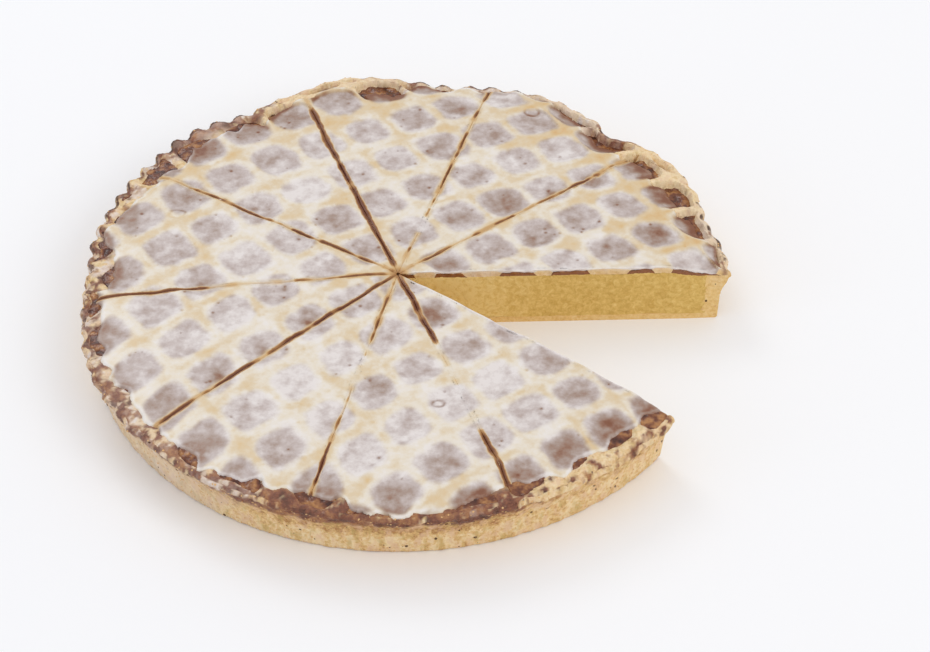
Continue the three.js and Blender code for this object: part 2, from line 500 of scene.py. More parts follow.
    def stained_and_shaded_between(self, piece: int, along: Array, first_edge: Array, second_edge: Array) -> Array:
        """How brown the icing of a slice is, from 0 to 1, with painted shade in its open cuts and one soft
        stain where the cuts meet.

        Args:
            piece: The slice's number, from 0.
            along: Distances from where the cuts meet.
            first_edge: Distances from the slice's first cut.
            second_edge: Distances from its second cut.

        Returns:
            The stain and painted shade at each place.
        """
        stain_and_shade = self.stained_and_shaded(piece, along, first_edge)
        stain_and_shade = np.maximum(stain_and_shade, self.stained_and_shaded(piece + 1, along, second_edge))
        stain_and_shade = stain_and_shade * (0.6 + 0.4 * smooth_step(*self.stains_fade_at, along))
        return np.maximum(stain_and_shade, self.meeting_stain * np.exp(-((along / self.meeting_width) ** 2)))

    def mended(self, cut: int, along: Array) -> Array:
        """How far the icing has closed over a cut, with a pit left open here and there."""
        pits = smooth_step(0.25, 0.5, self.edge_noise.patch(along, 29.0 * (cut + 1), 4.2))
        return self.cuts[cut].closed(along) * (1 - 0.75 * pits * (not self.cuts[cut].open_face))

    def slice_place(
        self, piece: int, share: Array, along: Array, heal: bool = False
    ) -> tuple[Array, Array]:
        """Place points inside one slice, clear of the cuts beside it.

        Args:
            piece: The slice's number, from 0.
            share: How far across the slice each point is, from 0 at its first cut to 1.
            along: Each point's distance from where the cuts meet.
            heal: True for the icing.

        Returns:
            The points' x and y.
        """
        first, second = self.bearings(piece)
        bearing = first + share * (second - first)
        start = self.gap(piece, along, heal) / 2 + self.wander(piece, along)
        end = self.gap(piece + 1, along, heal) / 2 - self.wander(piece + 1, along)
        x = self.cut_centre[0] + along * np.cos(bearing)
        y = self.cut_centre[1] + along * np.sin(bearing)
        x = x - start * (1 - share) * math.sin(first) + end * share * math.sin(second)
        y = y + start * (1 - share) * math.cos(first) - end * share * math.cos(second)
        return x, y

    def bearings(self, piece: int) -> tuple[float, float]:
        """The directions of the two cuts beside a slice, in radians."""
        return math.radians(self.cuts[piece].angle), math.radians(self.cuts[piece + 1].angle)

    def tip(self, piece: int, heal: bool = False) -> float:
        """The distance from where the cuts meet to a slice's blunt tip.

        Args:
            piece: The slice's number, from 0.
            heal: True for the icing.

        Returns:
            The distance.
        """
        near = np.linspace(0, self.tip_zone, 9)
        first, second = self.bearings(piece)
        widths = [float(self.gap(piece + i, near, heal).max()) for i in (0, 1)]
        return sum(widths) / 2 / (second - first) + self.blunt

    @property
    def slices(self) -> range:
        """The slices' numbers, from 0."""
        return range(len(self.cuts) - 1)


@dataclass(frozen=True)
class Spot:
    """A round patch on the top, by its place and radius, with how strong it is."""

    x: float
    y: float
    radius: float
    strength: float = 1.0


def spots(*rows: tuple[float, ...]) -> tuple[Spot, ...]:
    """Make spots from rows of their numbers."""
    return tuple(Spot(*row) for row in rows)


@dataclass
class SliceGrid:
    """Points spread evenly over one slice, with the triangles that join them.

    For each point cut_edge and face_edge are the distances to the nearest cut and to the nearest
    open face, closed is how far the icing has run together there, and the stain is how brown it is,
    with painted shade where a cut stands open.
    """

    x: Array
    y: Array
    cut_edge: Array
    face_edge: Array
    closed: Array
    stain_and_shade: Array
    triangles: Array
    outline: Array


@dataclass
class Site:
    """What every layer's height and looks depend on, at each point of a slice.

    Inside is the distance inside the fluted lip, and plain_inside leaves the flutes out. Past is
    the distance past the edge of the nearest opening, which is negative inside it, and chance is
    that opening's random number. Crossing is how near a crossing of the strips is, pocket is how
    much deeper the openings are, and dome is the tart's general surface.
    """

    grid: SliceGrid
    x: Array
    y: Array
    angle: Array
    radius: Array
    ridge: Array
    plain_inside: Array
    inside: Array
    near_rim: Array
    past: Array
    chance: Array
    crossing: Array
    pocket: Array
    dome: Array


@dataclass
class Tops:
    """Heights of every layer at a set of places, and what the icing there looks like."""

    jam: Array
    lattice: Array
    icing: Array
    strip: Array
    milk: Array
    toast: Array
    glaze: Array
    veil: Array
    edge_dark: Array


@dataclass
class LayerHeights:
    """Where one layer stops and the next begins, all over the tart."""

    plan: TartPlan
    crown: float = 29.3
    crown_swell: float = 0.35
    rim_drop: float = 3.0
    rim_drop_width: float = 28.0
    filling_top: float = 26.1
    filling_fall: float = 1.9
    filling_falls: Span = (112.0, 127.0)
    lip_base: float = 24.0
    border: float = 3.0
    jam_sunk: float = 1.05
    pocket_depth: float = 1.5
    strip_sunk: float = 0.45
    icing_sunk: float = 0.5
    thin_icing: float = 0.28
    icing_edge: float = 1.9
    groove_width: float = 0.8
    groove_depth: float = 0.7
    pin_depth: float = 0.3
    pin_reach: float = 3.0
    pins_within: float = 126.0
    pin_sizes: Span = (0.3, 0.8)
    pin_strengths: Span = (0.3, 1.0)
    ring_width: float = 0.75
    knot_spread: float = 4.0
    # Distances inside the lip at which something begins and is complete.
    rim_band: Span = (22.0, 13.0)
    lip_band: Span = (12.0, 5.0)
    lip_join: Span = (1.4, 3.0)
    icing_hides: Span = (6.0, 2.0)
    rim_clears: Span = (45.0, 18.0)
    # Distances past the edge of the nearest opening at which something begins and is complete.
    jam_thins: Span = (-0.3, 0.9)
    icing_sinks: Span = (1.0, -3.6)
    pool_ends: Span = (3.0, -1.0)
    strip_shows: Span = (-0.9, 1.9)
    jam_shows: Span = (2.1, -2.0)
    jam_darkens: Span = (-1.5, -7.0)
    bare_begins: Span = (0.5, -4.0)
    yolk_shows: Span = (0.2, 2.8)
    # Distances inside the icing's own edge at which it thins, clears and stays a little milky.
    edge_thins: Span = (6.0, 0.5)
    edge_clears: Span = (18.0, 5.0)
    edge_stays: Span = (0.5, 5.0)
    # How strongly each thing moves the icing's edge or changes how milky it is.
    lobe_depth: float = 2.4
    milkiness: float = 0.81
    pool_whiter: float = 0.26
    bare_darker: float = 0.5
    bald_yellower: float = 0.3
    # The films over the lip: where they start outside its edge, and how strongly they show.
    film_starts: Span = (-13.0, -6.0)
    spill_gain: float = 1.35
    edge_dark_gain: float = 1.3
    edge_dark_width: float = 1.7
    # Openings where the icing sank away and the jam shows through.
    bare_spots: tuple[Spot, ...] = spots(
        (44, 48, 7, 0.5), (24, 37, 5, 0.3), (58, 26, 5, 0.5), (57, 25, 2, 0.9), (86, 60, 7, 1.0),
        (109, 25, 8, 0.8), (-15, 21, 4, 0.3), (20, 8, 6, 0.7), (12, -22, 7, 0.95), (-4, -37, 4, 0.4),
        (-11, -67, 4, 0.6), (57, -54, 6, 0.3), (-40, -26, 6, 0.35), (-40, -26, 2.2, 0.9), (28, -40, 5, 0.2),
        (-86, 0, 5, 0.3), (63, -103, 8, 0.9), (82, -92, 8, 0.8), (46, -117, 8, 0.8), (98, -85, 10, 1.0),
        (26, -129, 7, 0.55), (-85, -98, 7, 0.5), (-97, -73, 6, 0.4), (12, -111, 7, 0.4),
        (-69, 104, 8, 0.15), (-48, 111, 7, 0.4), (28, 115, 8, 0.6), (20, 87, 6, 0.25), (-92, 58, 3, 0.6),
        (-88, 92, 8, 0.8), (-104, -12, 4, 0.2), (92, 90, 8, 0.9), (32, 68, 7, 0.25), (127, 31, 8, 1.0),
        (-120, 9, 7, 0.25), (-59, -42, 2.5, 1.0), (-76, -57, 2.4, 1.0), (-86, 0, 2.2, 0.9),
        (-64, 49, 2, 0.9), (-23, -11, 2, 0.7), (-50, -4, 1.8, 0.7), (66, 54, 1.8, 0.6), (88, 18, 1.6, 0.6),
        (22, 7, 2.2, 0.8), (-7, -127, 7, 0.3), (69, -73, 6, 0.2), (-33, 95, 2.2, 0.8), (-117, 45, 3, 0.8),
        (-28, 36, 2, 0.5), (84, 63, 6, 0.8), (-67, -112, 6, 0.35), (-126, -33, 4, 0.25),
    )
    # Where a strip spread wide at the open cut.
    knots: tuple[Spot, ...] = spots((10, 4, 5), (60, 4, 3.5, 0.8), (112, 4, 4))
    # Where the icing pooled thick and white.
    white_pools: tuple[Spot, ...] = spots(
        (-41, 60, 14, 1.0), (-20, 72, 12, 0.8), (50, 77, 12, 0.5), (72, 82, 11, 0.9), (-67, 16, 14, 1.0),
        (-35, 9, 10, 0.15), (-72, -20, 16, 0.5), (-92, -34, 12, 0.45), (-27, -48, 15, 0.8),
        (-45, -64, 17, 0.9), (-33, -84, 15, 0.7), (-19, -106, 13, 0.8), (-38, -120, 9, 0.5),
        (1, -92, 12, 0.4), (18, -77, 12, 0.8), (38, -64, 14, 1.0), (9, -52, 10, 0.5), (47, 124, 11, 0.8),
        (-100, 24, 13, 0.7), (59, 103, 9, 0.35), (50, -86, 12, 0.7), (-64, -78, 12, 0.7), (70, 9, 10, 0.4),
        (-12, 100, 12, 0.3), (121, 8, 10, 0.5), (-60, 52, 12, 0.8), (-8, 50, 10, 0.4), (4, 31, 10, 0.4),
        (38, 19, 10, 0.4), (-48, 28, 10, 0.5), (11, 60, 10, 0.4), (-7, -36, 11, 0.6), (-106, -13, 12, 0.5),
        (32, -98, 12, 0.6), (-110, -51, 11, 0.5), (-36, 91, 10, 0.4), (-20, -14, 10, 0.5),
    )
    # Burst bubbles that left a dark ring.
    rings: tuple[Spot, ...] = spots((-97, 47, 3.4), (13, -77, 2.4), (60, 112, 3.2))
    # How much jam and how much icing ran over the lip, from 0 to 1, by angle.
    jam_spill: Around = Around(
        (0, 0.02), (17, 0.14), (19, 0.05), (40, 0.05), (42, 0.7), (48, 0.7), (51, 0.2), (63, 0.1),
        (66, 0.45), (88, 0.4), (91, 0.05), (112, 0.05), (116, 0.5), (121, 0.85), (125, 1.0), (135, 0.95),
        (140, 0.5), (146, 0.2), (150, 0.55), (156, 0.3), (160, 0.5), (178, 0.55), (184, 0.52), (193, 0.48),
        (198, 0.56), (208, 0.54), (215, 0.62), (222, 0.56), (235, 0.54), (243, 0.7), (250, 0.9),
        (262, 0.85), (287, 0.8), (291, 0.35), (300, 0.26), (318, 0.3), (322, 0.2), (345, 0.1),
    )
    icing_spill: Around = Around(
        (0, 0.1), (35, 0), (42, 0.45), (50, 0.3), (57, 0.2), (63, 0.6), (88, 0.6), (91, 0.0), (110, 0.05),
        (122, 0.5), (125, 0.65), (143, 0.65), (146, 0.2), (150, 0.5), (158, 0.3), (162, 0.45), (180, 0.45),
        (193, 0.45), (200, 0.4), (215, 0.42), (234, 0.45), (236, 0.7), (242, 0.6), (244, 0.1), (262, 0.0),
        (278, 0.0), (281, 0.6), (284, 0.0), (320, 0.0),
    )
    # How much thin icing was smeared over the lip, from 0 to 1, and how far down the wall, by angle.
    # It is partly painted light: it pales the right-hand lip where it sits in shade, and on the left
    # wall it stands for the cool tint of the shade there.
    smear_and_painted_light: Around = Around(
        (0, 0.1), (4, 0.4), (8, 0.7), (13, 0.7), (18, 0.2), (42, 0.1), (46, 0.6), (75, 0.45), (90, 0.3),
        (104, 0.2), (110, 0.15), (180, 0.1), (196, 0.4), (225, 0.35), (240, 0.15), (345, 0.1),
    )
    smear_and_painted_light_reach: Around = Around((0, 1), (188, 1), (198, 26), (232, 26), (246, 1))
    # How much browner the wall baked under the lip, from 0 to 1, by angle.
    browned: Around = Around(
        (0, 0.0), (190, 0.1), (225, 0.2), (238, 0.8), (250, 1.0), (285, 0.9), (296, 0.25), (345, 0.0),
    )
    # How far down the wall the jam film reaches, in millimetres below the lip, by angle.
    film_reach: Around = Around(
        (0, 1.5), (120, 2.5), (160, 3), (200, 3), (235, 4), (246, 5.2), (262, 5.2), (270, 3.6), (281, 5.2),
        (287, 4.2), (292, 2), (345, 1.5),
    )
    # How dark the patches along the lip's outer edge are, from 0 to 1, by angle.
    edge_dark: Around = Around(
        (0, 0.1), (4, 0.6), (16, 0.5), (19, 0.1), (39, 0.0), (42, 0.7), (48, 0.6), (51, 0.0), (61, 0.1),
        (65, 0.65), (87, 0.6), (91, 0.0), (112, 0.0), (122, 0.9), (134, 0.9), (140, 0.5), (160, 0.3),
        (200, 0.15), (230, 0.0), (300, 0.0), (320, 0.2), (345, 0.1),
    )
    # How softly the icing thins away at its edge over bare jam, from 0 to 1, by angle.
    soft_edge: Around = Around(
        (0, 0.7), (12, 0.6), (60, 0.6), (66, 0.3), (90, 0.85), (118, 0.8), (124, 0.1), (145, 0.2),
        (160, 0.45), (205, 0.3), (215, 0.1), (244, 0.1), (250, 0.35), (286, 0.4), (291, 0.1), (320, 0.1),
        (345, 0.5),
    )
    pinholes: int = 260
    seed: int = 5
    soft: SmoothNoise = field(default_factory=lambda: SmoothNoise(31))
    fine: SmoothNoise = field(default_factory=lambda: SmoothNoise(37))

    def __post_init__(self) -> None:
        """Scatter the pinholes."""
        chance = np.random.default_rng(self.seed)
        angle = chance.uniform(0, 2 * math.pi, self.pinholes)
        radius = self.pins_within * np.sqrt(chance.uniform(0, 1, self.pinholes))
        size = chance.uniform(*self.pin_sizes, self.pinholes)
        depth = chance.uniform(*self.pin_strengths, self.pinholes)
        self.pins = np.stack([radius * np.cos(angle), radius * np.sin(angle), size, depth], 1)

    def filled(self, radius: Array) -> Array:
        """The top of the filling at distances from the tart's axis. It falls near the wall."""
        return self.filling_top - self.filling_fall * smooth_step(*self.filling_falls, radius)

    def bead(self, angle: Array, inside: Array) -> Array:
        """The height of the crust's rolled lip, at distances inside the lip's edge.

        Args:
            angle: Angles in radians.
            inside: Distances inside the lip's edge.

        Returns:
            The height at each place.
        """
        half, top = self.lip_size(angle)
        bulge = np.clip(1 - ((inside - half) / half) ** 2, 0, None)
        return self.lip_base + (top - self.lip_base) * np.sqrt(bulge)

    def lip_size(self, angle: Array) -> tuple[Array, Array]:
        """The rolled lip's half width and its top.

        Args:
            angle: Angles in radians.

        Returns:
            The half width and the top's height at each angle.
        """
        ridge = self.plan.ridge.at(angle)
        arc = angle * self.plan.lip_radius
        lump = self.fine.patch(arc, 11, 6.0)
        return 1.6 + 0.5 * ridge + 0.25 * lump, 25.8 + 1.3 * ridge + 0.5 * lump

    def domed(self, x: Array, y: Array, inside: Array) -> Array:
        """The tart's general surface, nearly flat in the middle and falling towards the rim."""
        fall = np.clip((self.rim_drop_width - inside) / self.rim_drop_width, 0, None) ** 2.2
        return self.crown + self.crown_swell * self.soft.patch(x, y, 43.0) - self.rim_drop * fall

    @staticmethod
    def gathered(patches: tuple[Spot, ...], x: Array, y: Array) -> Array:
        """The strongest of several soft round patches at each place.

        Args:
            patches: The patches.
            x: The places' x.
            y: The places' y.

        Returns:
            The strength at each place, from 0 to 1.
        """
        total = np.zeros_like(x)
        for spot in patches:
            away = ((x - spot.x) ** 2 + (y - spot.y) ** 2) / spot.radius**2
            total = np.maximum(total, spot.strength * np.exp(-away))
        return total

    def pitted(self, x: Array, y: Array) -> tuple[Array, Array]:
        """Pinholes and burst bubbles: how deep the dent is and how dark it looks.

        Args:
            x: The places' x.
            y: The places' y.

        Returns:
            The depth of the dent and the darkness, each from 0 to 1.
        """
        dent = np.zeros_like(x)
        for px, py, size, depth in self.pins:
            near = (np.abs(x - px) < self.pin_reach) & (np.abs(y - py) < self.pin_reach)
            away = ((x[near] - px) ** 2 + (y[near] - py) ** 2) / size**2
            dent[near] = np.maximum(dent[near], depth * np.exp(-away))
        dark = dent.copy()
        for ring in self.rings:
            away = np.hypot(x - ring.x, (y - ring.y) * 1.25)
            rim = np.exp(-(((away - ring.radius) / self.ring_width) ** 2))
            broken = 0.55 + 0.45 * self.fine.patch(x, y, 1.8)
            dark = np.maximum(dark, rim * broken)
            dent = np.maximum(dent, 0.6 * rim)
        return dent, dark

    def survey(self, grid: SliceGrid) -> Site:
        """Work out what the layers depend on at each point of a slice.

        Args:
            grid: The points.

        Returns:
            What the layers depend on.
        """
        plan, x, y = self.plan, grid.x, grid.y
        angle, radius = np.arctan2(y, x), np.hypot(x, y)
        ridge = plan.ridge.at(angle)
        plain_inside = plan.lip(angle) - radius
        flute = plan.lip_flute.at(angle) * plan.flute(angle)
        inside = plain_inside + flute * plan.flute_fade(plain_inside)
        border = self.border + 0.9 * ridge + 0.8 * self.fine.patch(x, y, 6.0)
        past, chance, crossing = plan.lattice.pastry(x, y)
        past = past + self.knot_spread * self.gathered(self.knots, x, y)
        near_rim = smooth_step(*self.rim_band, inside)
        near_lip = smooth_step(*self.lip_band, inside)
        past = smooth_max(past - ridge * (1.0 * near_rim + 0.8 * near_lip), border - inside, 1.0)
        pocket = self.pocket_depth * ridge * near_rim
        dome = self.domed(x, y, inside)
        edge = (ridge, plain_inside, inside, near_rim)
        return Site(grid, x, y, angle, radius, *edge, past, chance, crossing, pocket, dome)

    def measure(self, grid: SliceGrid) -> Tops:
        """Work out every layer's height and the icing's looks at each point of a slice.

        Args:
            grid: The points.

        Returns:
            The heights and the looks.
        """
        site = self.survey(grid)
        jam, lattice, bead = self.baked(site)
        dent, dark = self.pitted(site.x, site.y)
        under = np.maximum(np.maximum(lattice, jam), bead)
        icing, within = self.poured(site, under)
        strip, milk = self.clouded(site, within, dark)
        toast = np.clip(0.3 - 0.3 * site.ridge + 0.3 * self.soft.rough(site.x, site.y, 26.0), 0, 1)
        glaze, veil = self.spilled(site.angle, -site.inside)
        edge_dark = self.edge_darkened(site.angle, -site.inside)
        return Tops(jam, lattice, icing - self.pin_depth * dent, strip, milk, toast, glaze, veil, edge_dark)

    def baked(self, site: Site) -> tuple[Array, Array, Array]:
        """The heights of the jam, of the pastry lattice and of the crust's rolled lip.

        Args:
            site: What the layers depend on at each place.

        Returns:
            The three heights at each place.
        """
        x, y, past, ridge, near_rim = site.x, site.y, site.past, site.ridge, site.near_rim
        bead = self.bead(site.angle, site.inside)
        lumps = (0.5 + 0.9 * ridge * near_rim) * self.fine.rough(x, y, 3.2)
        open_jam = site.dome - self.jam_sunk + lumps - 0.2 * site.chance - site.pocket
        filled = self.filled(site.radius)
        open_jam = np.maximum(open_jam, filled + 0.25)
        jam = open_jam + (filled - 0.3 - open_jam) * smooth_step(*self.jam_thins, past)
        strip_top = site.dome - self.strip_sunk + 0.25 * site.crossing + 0.12 * self.fine.rough(x, y, 3.0)
        strip_top = strip_top + 1.0 * ridge * near_rim
        raised = smooth_step(-0.5, 2.4 - 1.5 * ridge * near_rim, past) ** 0.6
        lattice = open_jam - 0.4 + (strip_top - open_jam + 0.4) * raised
        lattice = smooth_max(lattice, np.where(past > 0, bead, 0.0), 0.6)
        joined = smooth_step(*self.lip_join, site.inside)
        lattice = lattice * joined + (bead - 0.5) * (1 - joined)
        return jam, np.maximum(lattice, np.where(past > 0.5, filled + 0.1, 0.0)), bead

    def poured(self, site: Site, under: Array) -> tuple[Array, Array]:
        """The icing's height without pinholes, and how far each place is inside its edge.

        Args:
            site: What the layers depend on at each place.
            under: The height of whatever lies under the icing.

        Returns:
            The heights, then the distances.
        """
        x, y, ridge, inside = site.x, site.y, site.ridge, site.inside
        bare = self.gathered(self.bare_spots, x, y)
        opening = smooth_step(*self.icing_sinks, site.past)
        sunk = self.icing_sunk * (1 + 0.35 * site.chance) + 0.7 * bare + 0.7 * site.pocket
        flow = site.dome - sunk * opening + 0.1 * self.soft.patch(x, y, 9.0)
        icing = smooth_max(flow, under + self.thin_icing, 0.35)
        lobes = self.lobe_depth * self.edge_lobes(site.angle, site.radius)
        inset = self.plan.icing_inset.at(site.angle)
        within = site.plain_inside - inset + lobes + 5.0 * ridge * site.near_rim * opening
        shoulder = np.clip(within / self.icing_edge, 0, 1)
        shoulder = np.sqrt(1 - (1 - shoulder) ** 2)
        hidden = under - 0.35 - 1.4 * smooth_step(*self.icing_hides, inside)
        icing = np.where(within > 0, under + (icing - under) * shoulder, hidden)
        groove = np.clip(1 - site.grid.cut_edge / self.groove_width, 0, 1) ** 2 * (1 - site.grid.closed)
        return icing - self.groove_depth * groove * np.clip(icing - under, 0, 0.6), within

    def clouded(self, site: Site, within: Array, dark: Array) -> tuple[Array, Array]:
        """What the icing looks like.

        Args:
            site: What the layers depend on at each place.
            within: How far each place is inside the icing's edge.
            dark: How dark its pinholes are.

        Returns:
            How far pastry shows through and how milky the icing is, each from 0 to 1.
        """
        plan, x, y, past, ridge = self.plan, site.x, site.y, site.past, site.ridge
        white = self.gathered(self.white_pools, x, y)
        milk = self.cloudiness(site) + self.pool_whiter * white * smooth_step(*self.pool_ends, past)
        strip = smooth_step(*self.strip_shows, past + 1.1 * self.fine.rough(x, y, 6.0, 2))
        milk = milk - dark * (0.25 + 0.5 * (1 - strip))
        milk = milk - 0.22 * ridge * strip * smooth_step(*self.rim_clears, site.inside)
        fringe = np.exp(-((site.grid.cut_edge / 1.5) ** 2)) * (1 - site.grid.closed)
        fringe = fringe * np.clip(0.55 + 0.9 * self.fine.patch(x, y, 7.0), 0, 1)
        middle = np.exp(-((np.hypot(x - plan.cut_centre[0], y - plan.cut_centre[1]) / 6.5) ** 2))
        crumbled = np.maximum(fringe, middle)
        thinned = self.soft_edge.at(site.angle) * (1 - strip)
        milk = milk - thinned * smooth_step(*self.edge_thins, within)
        milk = milk - 0.08 * smooth_step(*self.edge_clears, within) * (1 - 0.6 * strip)
        least = (0.06 + 0.1 * self.fine.rough(x, y, 3.6, 2)) * smooth_step(*self.edge_stays, within)
        milk = np.maximum(milk, least) - 0.5 * crumbled
        # A whiter band just inside the icing's edge: its thicker bead, with a painted highlight along it.
        bead_and_highlight = np.exp(-(((within - 0.9) / 0.8) ** 2)) * (1 - thinned)
        milk = milk + 0.3 * bead_and_highlight + 0.3 * np.exp(-site.grid.face_edge / 0.9)
        return np.maximum(strip, crumbled), np.clip(milk, 0, 1)

    def cloudiness(self, site: Site) -> Array:
        """How milky the icing is, from 0 to 1, before pools, pinholes and edges change it.

        Args:
            site: What the layers depend on at each place.

        Returns:
            The milkiness at each place.
        """
        x, y, past = site.x, site.y, site.past
        bare = self.gathered(self.bare_spots, x, y)
        patches = self.soft.rough(x, y, 26.0)
        drift = 1.3 * self.soft.patch(x, y, 9.0) + 0.8 * self.fine.rough(x, y, 4.0, 2)
        main = smooth_step(*self.jam_shows, past + 0.8 * drift)
        core = smooth_step(*self.jam_darkens, past + 2.0 * drift)
        blotches = self.soft.rough(x + 70, y - 40, 5.5, 2)
        # A lighter outline round the openings, in patches: a painted highlight.
        rim = np.exp(-(((past + 0.5) / 0.9) ** 2)) * np.clip(self.soft.patch(x + 40, y, 6.0), 0, 1)
        milk = self.milkiness - (0.12 + 0.04 * site.chance - 0.06 * patches) * main - 0.06 * core
        milk = milk + (0.17 + 0.04 * main) * blotches + 0.08 * rim
        grain = 0.75 + 0.4 * self.fine.rough(x, y, 3.6, 2)
        milk = milk - self.bare_darker * bare * grain * smooth_step(*self.bare_begins, past)
        bald = np.clip(0.45 + 1.1 * self.soft.rough(x - 90, y + 60, 11.0, 2), 0, 1)
        yolk = smooth_step(*self.yolk_shows, past + 1.5 * self.soft.rough(x, y, 6.0, 2))
        return milk - (self.bald_yellower * bald + 0.1 * site.crossing - 0.03) * yolk

    def edge_lobes(self, angle: Array, radius: Array) -> Array:
        """How the icing's edge creeps in and out around the tart."""
        arc = angle * 130.0
        return self.fine.patch(arc, radius * 0.15, 7.5) + 0.4 * self.fine.patch(arc, radius * 0.3 + 90, 3.1)

    def spilled(self, angle: Array, down: Array) -> tuple[Array, Array]:
        """Where jam and icing ran over the lip, each from 0 to 1.

        Args:
            angle: The places' angles in radians.
            down: Their distance outside the lip's edge, or down the wall.

        Returns:
            How far a jam film covers each place, then how far icing covers it.
        """
        arc = angle * self.plan.lip_radius
        patchy = 0.5 + 1.0 * self.fine.rough(arc, down + 300, 3.0, 3)
        seam = 0.3 * np.exp(-(((down + 1.4) / 1.5) ** 2))
        jam = self.jam_spill.at(angle) * self.spill_gain + seam - patchy
        runs = self.film_reach.at(angle)
        runs = runs + 3.2 * self.fine.rough(arc, 60, 5.0)
        reach = smooth_step(*self.film_starts, down) * smooth_step(runs + 3.0, runs, down)
        patchy = 0.5 + 1.0 * self.soft.rough(arc, down * 0.7 + 500, 2.8, 4)
        icing = self.icing_spill.at(angle) * self.spill_gain - patchy
        runs = 2.0 + 4.5 * self.soft.rough(arc, 90, 4.0)
        drip = smooth_step(runs + 2.5, runs, down)
        film = np.clip(jam * 2.6, 0, 1) * reach
        # The smear is partly painted light: it pales the shaded right-hand lip and cools the left wall's
        # shade.
        down_to = self.smear_and_painted_light_reach.at(angle)
        smear_and_painted_light = self.smear_and_painted_light.at(angle) * smooth_step(down_to + 3.0, down_to, down)
        smear_and_painted_light = smear_and_painted_light * (1 + 0.6 * self.soft.rough(arc, down + 700, 5.0))
        veil = np.maximum(np.clip(icing * 2.2, 0, 1) * drip, smear_and_painted_light)
        return film, veil * (1 - 0.75 * film)

    def edge_darkened(self, angle: Array, down: Array) -> Array:
        """How dark the patches along the lip's outer edge are, from 0 to 1.

        Args:
            angle: The places' angles in radians.
            down: Their distance outside the lip's edge, or down the wall.

        Returns:
            The darkening at each place.
        """
        arc = angle * self.plan.lip_radius
        most = self.edge_dark.at(angle) * self.edge_dark_gain
        patchy = 0.5 + 1.1 * self.fine.rough(arc + 500, down + 40, 3.2, 4)
        band = np.exp(-(((down - 0.2) / self.edge_dark_width) ** 2))
        return np.clip((most - patchy) * 3.0, 0, 1) * band


def wrapped(first: Array, second: Array) -> list[list[int]]:
    """Four-sided faces between closed rows of point numbers, which run along the last axis."""
    after_first, after_second = np.roll(first, -1, -1), np.roll(second, -1, -1)
    return np.stack([first, second, after_second, after_first], -1).reshape(-1, 4).tolist()


